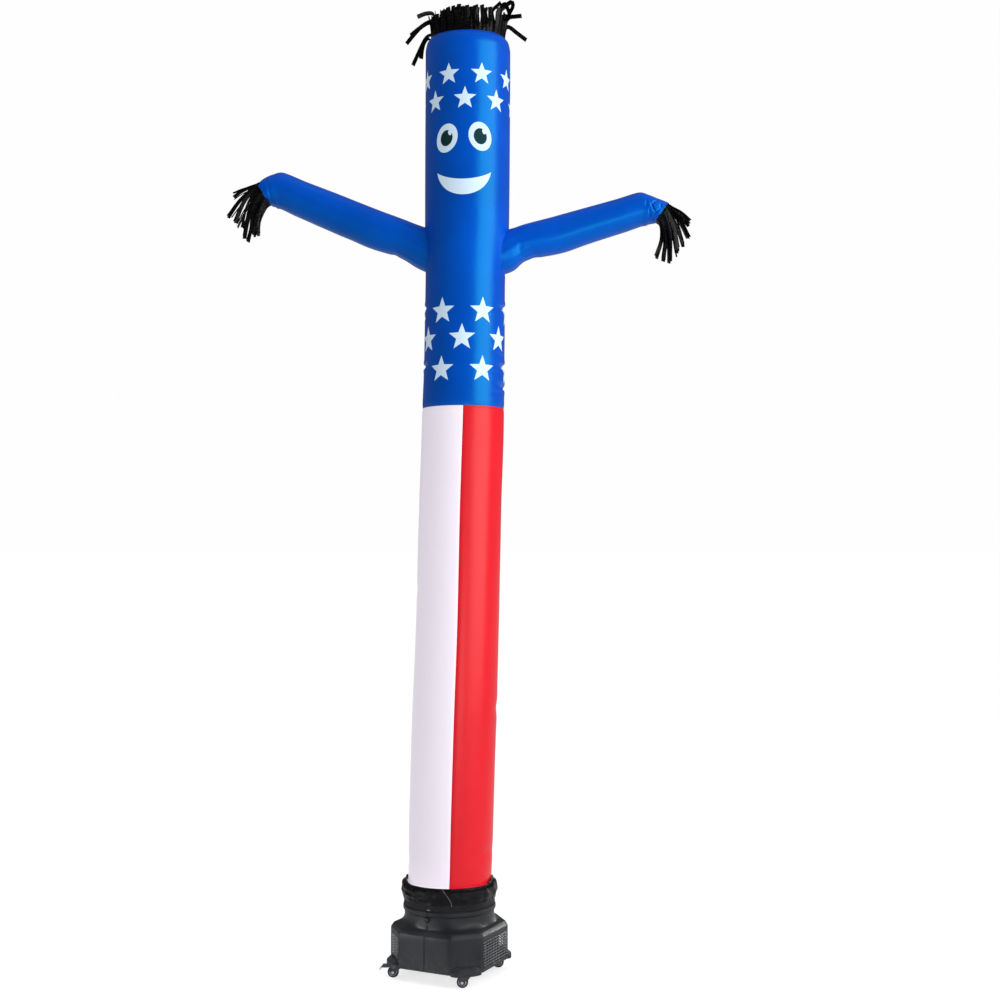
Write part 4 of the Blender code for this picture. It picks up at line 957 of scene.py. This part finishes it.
def collar_place(turn, height):
    share = (height - COLLAR[0][0]) / (COLLAR[-1][0] - COLLAR[0][0])
    azimuth = 7.4 - 12.0 * share ** 1.7 + turn
    radius = read_row(COLLAR, height, 1)
    ripple = read_row(COLLAR, height, 2)
    ease = min(1.0, max(0.0, (60.0 - turn) / 22.0))
    lifted = 0.0023 * (3.0 * ease ** 2 - 2.0 * ease ** 3)
    covered = min(1.0, max(0.0, (turn - 345.0) / 12.0))
    swing = math.radians(turn)
    # Upright gathers to the right of the lap, long slanting folds to the left of it
    gathered = 0.35 + 0.65 * hill(between(azimuth, 45.0) / 75.0)
    slanting = hill(between(azimuth, -60.0) / 80.0)
    wave = math.sin(22.0 * swing + 1.1 * math.sin(3.0 * swing))
    fold = math.sin(2.0 * math.pi * (height / 0.0165 + azimuth / 75.0))
    small = noise.noise(Vector((9.0 * math.sin(swing), 9.0 * math.cos(swing), height * 60.0)))
    pucker = ripple * (gathered * wave + 0.8 * slanting * fold + 0.9 * small) * (1.0 - covered)
    pucker *= 1.0 - 0.75 * ease
    rise = 0.0
    for middle, spread, lift, flare in EARS:
        corner = hill(between(azimuth, middle) / spread) * share ** 3
        rise += lift * corner
        radius += flare * corner
    return around(azimuth, radius + lifted + pucker, height + rise)


collar_heights = steps_between(COLLAR[0][0], COLLAR[-1][0], 0.0029)
collar_mesh = roll_cloth(steps_between(0.0, 390.0, 1.5), collar_heights, collar_place, 360.0)
collar = close_and_keep("collar", collar_mesh, collar_black, facing=Vector((AXIS_X, 0.0, 0.29)))
give_wall(collar, 0.0014)
settle(collar, "black_nylon", "cuff_collar")


# Blower housing: two injection-moulded halves of charcoal plastic that meet on a seam up the
# front. A square with cut corners slopes in to a round neck with a bead, and ends in a thick ring.

BLOWER_TURN = -23.5        # azimuth of the front wall
FLAT_REACH = 0.175
CORNER_REACH = 0.1915
HOUSING = [
    # height, inset of the walls, radius of the neck, roundness
    (0.0450, 0.0000, 0.1517, 0.0),
    (0.0560, 0.0000, 0.1517, 0.0),
    (0.0680, 0.0000, 0.1517, 0.0),
    (0.1420, 0.0000, 0.1517, 0.0),
    (0.1585, 0.0000, 0.1517, 0.0),
    (0.1603, 0.0004, 0.1517, 0.0),
    (0.1615, 0.0010, 0.1517, 0.0),
    (0.1727, 0.0080, 0.1517, 0.0),
    (0.1740, 0.0094, 0.1517, 0.0),
    (0.1782, 0.0185, 0.1517, 0.12),
    (0.1800, 0.0204, 0.1520, 0.3),
    (0.1840, 0.0210, 0.1530, 0.6),
    (0.1910, 0.0210, 0.1524, 0.86),
    (0.2000, 0.0210, 0.1517, 1.0),
    (0.2200, 0.0210, 0.1517, 1.0),
    (0.2213, 0.0210, 0.1532, 1.0),
    (0.2240, 0.0210, 0.1563, 1.0),
    (0.2300, 0.0210, 0.1571, 1.0),
    (0.2365, 0.0210, 0.1563, 1.0),
    (0.2392, 0.0210, 0.1532, 1.0),
    (0.2402, 0.0210, 0.1517, 1.0),
    (0.2880, 0.0210, 0.1517, 1.0),
    (0.2892, 0.0210, 0.1560, 1.0),
    (0.2920, 0.0210, 0.1580, 1.0),
    (0.2985, 0.0210, 0.1588, 1.0),
    (0.3050, 0.0210, 0.1578, 1.0),
    (0.3088, 0.0210, 0.1558, 1.0),
    (0.3093, 0.0210, 0.1540, 1.0),
]


def wall_corners(inset):
    """Corners of the housing's outline: azimuth from the front wall, and reach."""
    flat = FLAT_REACH - inset
    half = (CORNER_REACH - inset) * math.sqrt(2.0) - flat
    turn = math.degrees(math.atan2(half, flat))
    return [(90.0 * wall + way * turn, math.hypot(half, flat)) for wall in range(4) for way in (-1.0, 1.0)]


GROOVE_SHARE = 0.007       # half the width of the seam's groove, as a part of a wide wall
GROOVE_DEPTH = 0.0018
CORNER_SHARES = [0.0, 0.018, 0.045]
WIDE_SHARES = CORNER_SHARES + [0.0358 + 0.9284 * k / 14 for k in range(1, 14)]
WIDE_SHARES += [0.5 - GROOVE_SHARE, 0.5 + GROOVE_SHARE, 0.955, 0.982]
CUT_SHARES = CORNER_SHARES + [0.0625 + 0.875 * k / 8 for k in range(1, 8)] + [0.955, 0.982]


def housing_place(place, row):
    """A point of the housing. place is the wall's number plus the share along it."""
    wall = int(place) % 8
    share = place - int(place)
    height, inset, radius, roundness = HOUSING[int(round(row))]
    corners = wall_corners(inset)
    start_turn, start_reach = corners[wall]
    end_turn, end_reach = corners[(wall + 1) % 8]
    start = around(BLOWER_TURN + start_turn, start_reach, height)
    end = around(BLOWER_TURN + end_turn, end_reach, height)
    full = wall_corners(0.0)
    span = (full[(wall + 1) % 8][0] - full[wall][0]) % 360.0
    round_point = around(BLOWER_TURN + full[wall][0] + span * share, radius, height)
    point = start.lerp(end, share)
    # The walls' corners are moulded with a small radius
    near = min(share, 1.0 - share)
    drop = 0.0022 * max(0.0, 1.0 - near / 0.045) ** 2
    point += (Vector((AXIS_X, 0.0, height)) - point).normalized() * drop
    point = point.lerp(round_point, roundness)
    if wall % 4 == 0:
        # The halves meet in a fine groove
        fall = GROOVE_DEPTH * max(0.0, 1.0 - abs(share - 0.5) / GROOVE_SHARE)
        point += (Vector((AXIS_X, 0.0, height)) - point).normalized() * fall
    return point


def moulded_group():
    """Spark-eroded plastic: a fine grain, soft cloudy shade, dust that lies low."""
    group, do, _, result = new_group("moulded_grain", [], ["Grain", "Shade", "Dust"])
    group.links.new(cloudiness(group, 1500.0, 2.0, 0.3, 0.7), result["Grain"])
    group.links.new(cloudiness(group, 14.0, 4.0), result["Shade"])
    place = group.nodes.new("ShaderNodeTexCoord")
    split = group.nodes.new("ShaderNodeSeparateXYZ")
    group.links.new(place.outputs["Object"], split.inputs[0])
    low = do("MULTIPLY_ADD", split.outputs["Z"], -9.0, 1.0)
    low = do("MAXIMUM", low, 0.0)
    group.links.new(do("MULTIPLY", low, cloudiness(group, 55.0, 5.0)), result["Dust"])
    return group


MOULDED = moulded_group()


def moulded(name, dark, light, roughness, dust=0.5, specular=0.45, metallic=0.0, grain=0.00012):
    material, tree, shader = finish_of(name, roughness, metallic, specular)
    surface = tree.nodes.new("ShaderNodeGroup")
    surface.node_tree = MOULDED
    paint = blend_colours(tree, surface.outputs["Shade"], dark, light)
    dusty = tuple(0.5 * part + 0.07 for part in light)
    paint = blend_colours(tree, work_out(tree, "MULTIPLY", surface.outputs["Dust"], dust), paint, dusty)
    tree.links.new(paint, shader.inputs["Base Color"])
    rough = work_out(tree, "MULTIPLY_ADD", surface.outputs["Shade"], 0.12, roughness - 0.06)
    tree.links.new(rough, shader.inputs["Roughness"])
    raise_surface(tree, shader, surface.outputs["Grain"], grain)
    return material


charcoal = moulded("charcoal_plastic", (0.013, 0.0145, 0.0175), (0.018, 0.020, 0.024), 0.40, specular=0.30)
# The grille's bars are painted pale grey, painted light for the light they catch, with dust low down on top.
grille_painted_pale = moulded("grille_dust_and_painted_light", (0.11, 0.115, 0.125), (0.17, 0.175, 0.185), 0.42)
VENTS = [
    # name, node, wall's azimuth, reach, width, bottom, columns, rows, side
    ("vent_wide_r", "vent_wide_right", 90.0, FLAT_REACH, 0.178, 0.056, 9, 9, 0),
    ("vent_wide_l", "vent_wide_left", 270.0, FLAT_REACH, 0.178, 0.056, 9, 9, 1),
    ("vent_cut_r", "vent_corner_right", 135.0, CORNER_REACH, 0.098, 0.068, 3, 8, 0),
    ("vent_cut_l", "vent_corner_left", 315.0, CORNER_REACH, 0.098, 0.068, 3, 8, 1),
]
VENT_TOP = 0.142


def wall_axes(turn):
    """Outward and sideways directions of a wall of the blower."""
    outward = around(BLOWER_TURN + turn, 1.0, 0.0, 0.0)
    return outward, UP.cross(outward)


def in_window(point, half_number):
    for _, _, turn, reach, width, bottom, _, _, side in VENTS:
        outward, sideways = wall_axes(turn)
        rest = point - Vector((AXIS_X, 0.0, 0.0))
        if side == half_number and rest.dot(outward) > reach - 0.02:
            if abs(rest.dot(sideways)) < 0.5 * width and bottom < point.z < VENT_TOP:
                return True
    return False


HALF_GAP = 0.00025         # each half stands this far from the seam's plane
PLASTIC_WALL = 0.003
for half_number, side in enumerate(("right", "left")):
    places = []
    for order in range(5):
        wall = 4 * half_number + order
        shares = WIDE_SHARES if wall % 2 == 0 else CUT_SHARES
        for share in shares:
            if (order > 0 or share > 0.5) and (order < 4 or share < 0.5):
                places.append(wall + share)
        if order == 0:
            places.insert(0, wall + 0.5)
        if order == 4:
            places.append(wall + 0.5)
    places = sorted(set(places))
    rows = [float(i) for i in range(len(HOUSING))]
    housing_mesh = roll_cloth(places, rows, housing_place)
    across = wall_axes(90.0 + 180.0 * half_number)[0]
    for vert in housing_mesh.verts:
        vert.co += across * HALF_GAP
    open_faces = [face for face in housing_mesh.faces if in_window(face.calc_center_median(), half_number)]
    bmesh.ops.delete(housing_mesh, geom=open_faces, context="FACES")
    for turn in (45.0, 135.0):
        # A D-shaped ledge under a cut corner, with a sloping top and a raised rib
        outward, sideways = wall_axes(turn + 180.0 * half_number)
        ledge = bmesh.ops.create_circle(housing_mesh, cap_ends=True, segments=32, radius=1.0)
        ledge_faces = list({face for vert in ledge["verts"] for face in vert.link_faces})
        base = Vector((AXIS_X, 0.0, 0.0)) + outward * (CORNER_REACH - 0.0015)
        for vert in ledge["verts"]:
            depth = max(0.0, vert.co.y)
            vert.co = base + sideways * 0.050 * vert.co.x + outward * 0.0225 * depth ** 0.8 + UP * 0.0450
        lifted = bmesh.ops.extrude_face_region(housing_mesh, geom=ledge_faces)
        rim = [item for item in lifted["geom"] if isinstance(item, bmesh.types.BMVert)]
        bmesh.ops.translate(housing_mesh, verts=rim, vec=UP * 0.0090)
        rim_faces = [item for item in lifted["geom"] if isinstance(item, bmesh.types.BMFace)]
        lifted = bmesh.ops.extrude_face_region(housing_mesh, geom=rim_faces)
        crown = [item for item in lifted["geom"] if isinstance(item, bmesh.types.BMVert)]
        for vert in crown:
            forward = (vert.co - base).dot(outward)
            vert.co -= outward * 0.66 * forward
            vert.co -= sideways * 0.24 * (vert.co - base).dot(sideways)
            vert.co += UP * 0.0115
        bmesh.ops.delete(housing_mesh, geom=rim_faces, context="FACES_ONLY")
    centre = Vector((AXIS_X, 0.0, 0.15)) - across * 0.02
    housing = close_and_keep("housing_half_" + side, housing_mesh, charcoal, facing=centre, sharp=28.0)
    give_wall(housing, PLASTIC_WALL)
    settle(housing, "moulded_grey", "housing_" + side)

for name, node, turn, reach, width, bottom, columns, rows, _ in VENTS:
    # A grille of rounded slots, moulded in the wall. Its bars are painted pale grey, far paler than the
    # housing's plastic: painted light that stands in for light caught on them.
    outward, sideways = wall_axes(turn)
    vent_mesh = bmesh.new()
    bmesh.ops.create_grid(vent_mesh, x_segments=columns, y_segments=rows, size=0.5)
    half_width = 0.5 * width - 0.0003
    tall = VENT_TOP - bottom - 0.0006
    for vert in vent_mesh.verts:
        spot = Vector((AXIS_X, 0.0, bottom + 0.0003 + (vert.co.y + 0.5) * tall)) + outward * reach
        vert.co = spot + sideways * (2.0 * half_width * vert.co.x)
    cells = list(vent_mesh.faces)
    bmesh.ops.inset_individual(vent_mesh, faces=cells, thickness=0.0021)
    corners = list({vert for cell in cells for vert in cell.verts})
    bmesh.ops.bevel(
        vent_mesh, geom=corners, offset=0.0019, segments=3, profile=0.5, affect="VERTICES", material=-1
    )
    holes = [face for face in vent_mesh.faces if len(face.verts) > 12]
    bmesh.ops.delete(vent_mesh, geom=holes, context="FACES")
    vent = close_and_keep(name, vent_mesh, grille_painted_pale, facing=Vector((AXIS_X, 0.0, 0.1)))
    give_wall(vent, PLASTIC_WALL, even=False)
    settle(vent, "moulded_grey", node)


# Hook tape: a black band of hook-and-loop tape round the neck, ribbed upright, held by steel
# staples beside the seam. The double tab under the bead takes the screw that ties the halves.

hook_black, hook_tree, hook_shader = finish_of("hook_tape", 0.60, specular=0.25)
hook_tone = blend_colours(
    hook_tree, cloudiness(hook_tree, 240.0), (0.008, 0.0078, 0.010), (0.020, 0.019, 0.025)
)
hook_tree.links.new(hook_tone, hook_shader.inputs["Base Color"])
raise_surface(hook_tree, hook_shader, cloudiness(hook_tree, 900.0, 2.0), 0.0006)


def band_place(turn, height):
    """A point of the ribbed band, whose long edges are eased."""
    ribs = 0.0003 * math.cos(math.radians(120.0 * turn))
    proud = 0.0004 if 0.2410 < height < 0.2870 else 0.0
    return around(turn, 0.1532 + ribs + proud, height)


band_heights = [0.2406, 0.2412, 0.2640, 0.2868, 0.2874]
band_mesh = roll_cloth(steps_between(0.0, 360.0, 0.6), band_heights, band_place, 360.0)
band_middle = Vector((AXIS_X, 0.0, 0.264))
band = close_and_keep("hook_tape_band", band_mesh, hook_black, facing=band_middle, sharp=60.0)
give_wall(band, 0.0012)
settle(band, "hook_tape", "hook_band")

steel_wire = moulded("staple_steel", (0.55, 0.55, 0.57), (0.70, 0.70, 0.72), 0.28, dust=0.1, metallic=1.0)
STAPLES = [
    # azimuth from the front wall, height
    (1.6, 0.2448),
    (-61.0, 0.2448),
    (121.0, 0.2448),
    (181.6, 0.2448),
    (-121.0, 0.2448),
]


def rounded_bar(mesh, centre, directions, half_sizes, bevel):
    """A small bar with rounded edges, along three directions."""
    made = bmesh.ops.create_cube(mesh, size=2.0)
    for vert in made["verts"]:
        local = vert.co.copy()
        vert.co = centre + sum((d * c * h for d, c, h in zip(directions, local, half_sizes)), Vector())
    edges = list({edge for vert in made["verts"] for edge in vert.link_edges})
    bmesh.ops.bevel(mesh, geom=edges, offset=bevel, segments=2, profile=0.5, affect="EDGES", material=-1)


staple_mesh = bmesh.new()
for turn, height in STAPLES:
    outward, sideways = wall_axes(turn)
    centre = around(BLOWER_TURN + turn, 0.1541, height)
    rounded_bar(staple_mesh, centre, (sideways, outward, UP), (0.0055, 0.0005, 0.0006), 0.0003)
staples = close_and_keep("band_staples", staple_mesh, steel_wire)
settle(staples, "zinc_bolt")

dark_steel = moulded("dark_steel", (0.05, 0.055, 0.06), (0.09, 0.095, 0.10), 0.35, dust=0.2, metallic=0.8)
tab_plastic = moulded("tab_plastic", (0.010, 0.011, 0.013), (0.018, 0.019, 0.022), 0.38, dust=0.1)
screw_mesh = bmesh.new()
for turn in (0.0, 180.0):
    # Screw heads on both cheeks of the double tab
    outward, sideways = wall_axes(turn)
    for cheek in (-1.0, 1.0):
        head = bmesh.ops.create_cone(
            screw_mesh, cap_ends=True, segments=20, radius1=0.0030, radius2=0.0024, depth=0.0016
        )
        centre = Vector((AXIS_X, 0.0, 0.21175)) + outward * 0.1578 + sideways * cheek * 0.0068
        turned = (sideways * cheek).to_track_quat("Z", "Y").to_matrix()
        for vert in head["verts"]:
            vert.co = centre + turned @ vert.co
tab_screws = close_and_keep("tab_screws", screw_mesh, dark_steel)
settle(tab_screws, "zinc_bolt")
repaint(tab_plastic, "seam_boss_front", "seam_boss_back")


# Guard and floor pan: the finger guard over the outlet and the plate under the housing, moulded
# in the same charcoal plastic. The dancer hides the first, the floor the second.

repaint(charcoal, "outlet_guard", "floor_pan")


# Casters: a pressed dark steel fork on a swivel, a black tyre on a pale wheel with a grey centre,
# and a bright hexagon bolt through both. The left one has a foot brake on a riveted bracket.

CASTER_PLACES = {
    # wheel's centre
    "front": (0.015669, -0.173058, 0.019),
    "left": (-0.225558, -0.068169, 0.019),
    "right": (0.120558, 0.068169, 0.019),
    "back": (-0.120669, 0.173058, 0.019),
}
fork_paint = moulded(
    "fork_paint", (0.040, 0.044, 0.056), (0.065, 0.070, 0.088), 0.34, dust=0.5, metallic=0.35
)
tyre_rubber = moulded(
    "tyre_rubber", (0.007, 0.007, 0.007), (0.016, 0.016, 0.016), 0.55, dust=0.9, specular=0.35
)
wheel_pale = moulded("wheel_pale", (0.62, 0.63, 0.65), (0.74, 0.74, 0.75), 0.30, dust=0.3)
wheel_centre = moulded("wheel_centre", (0.012, 0.013, 0.016), (0.022, 0.023, 0.027), 0.40, dust=0.3)
bright_zinc = moulded(
    "bright_zinc", (0.70, 0.70, 0.71), (0.82, 0.82, 0.83), 0.20, dust=0.05, metallic=1.0, grain=0.00004
)
TYRE_PROFILE = [
    # radius, half width
    (0.0130, 0.0079), (0.0150, 0.0080), (0.0172, 0.0078),
    (0.0186, 0.0066), (0.0190, 0.0036), (0.0190, 0.0),
]
WHEEL_PROFILE = [
    (0.0034, 0.0076), (0.0056, 0.0076), (0.0062, 0.0070), (0.0090, 0.0070),
    (0.0098, 0.0077), (0.0118, 0.0077), (0.0124, 0.0072),
]


def spin_profile(mesh, profile, centre, steps=40):
    """Turn a closed profile of (radius, side) round the wheel's axle, which lies along Y."""
    line = [mesh.verts.new(centre + Vector((radius, side, 0.0))) for radius, side in profile]
    edges = [mesh.edges.new((a, b)) for a, b in zip(line, line[1:] + line[:1])]
    bmesh.ops.spin(
        mesh, geom=line + edges, cent=centre, axis=(0.0, 1.0, 0.0), angle=2.0 * math.pi,
        steps=steps, use_merge=True,
    )


for name, place in CASTER_PLACES.items():
    centre = Vector(place)
    tyre_mesh = bmesh.new()
    mirrored = TYRE_PROFILE + [(radius, -half) for radius, half in reversed(TYRE_PROFILE[:-1])]
    spin_profile(tyre_mesh, mirrored, centre)
    tyre = close_and_keep("tyre_of_" + name, tyre_mesh, tyre_rubber)
    settle(tyre, "tyre_rubber", "tyre_" + name, body="wheel_" + name)
    wheel_mesh = bmesh.new()
    mirrored = WHEEL_PROFILE + [(radius, -half) for radius, half in reversed(WHEEL_PROFILE)]
    spin_profile(wheel_mesh, mirrored, centre)
    wheel = close_and_keep("wheel_of_" + name, wheel_mesh, wheel_pale, wheel_centre)
    for face in wheel.data.polygons:
        away = (face.center - centre).xz.length
        face.material_index = 1 if away < 0.0094 else 0
    settle(wheel, "hub_pale", "hub_" + name, body="wheel_" + name)
    repaint(fork_paint, "fork_" + name)
    repaint(bright_zinc, "axle_" + name)
repaint(fork_paint, "brake_bracket", "brake_pedal")
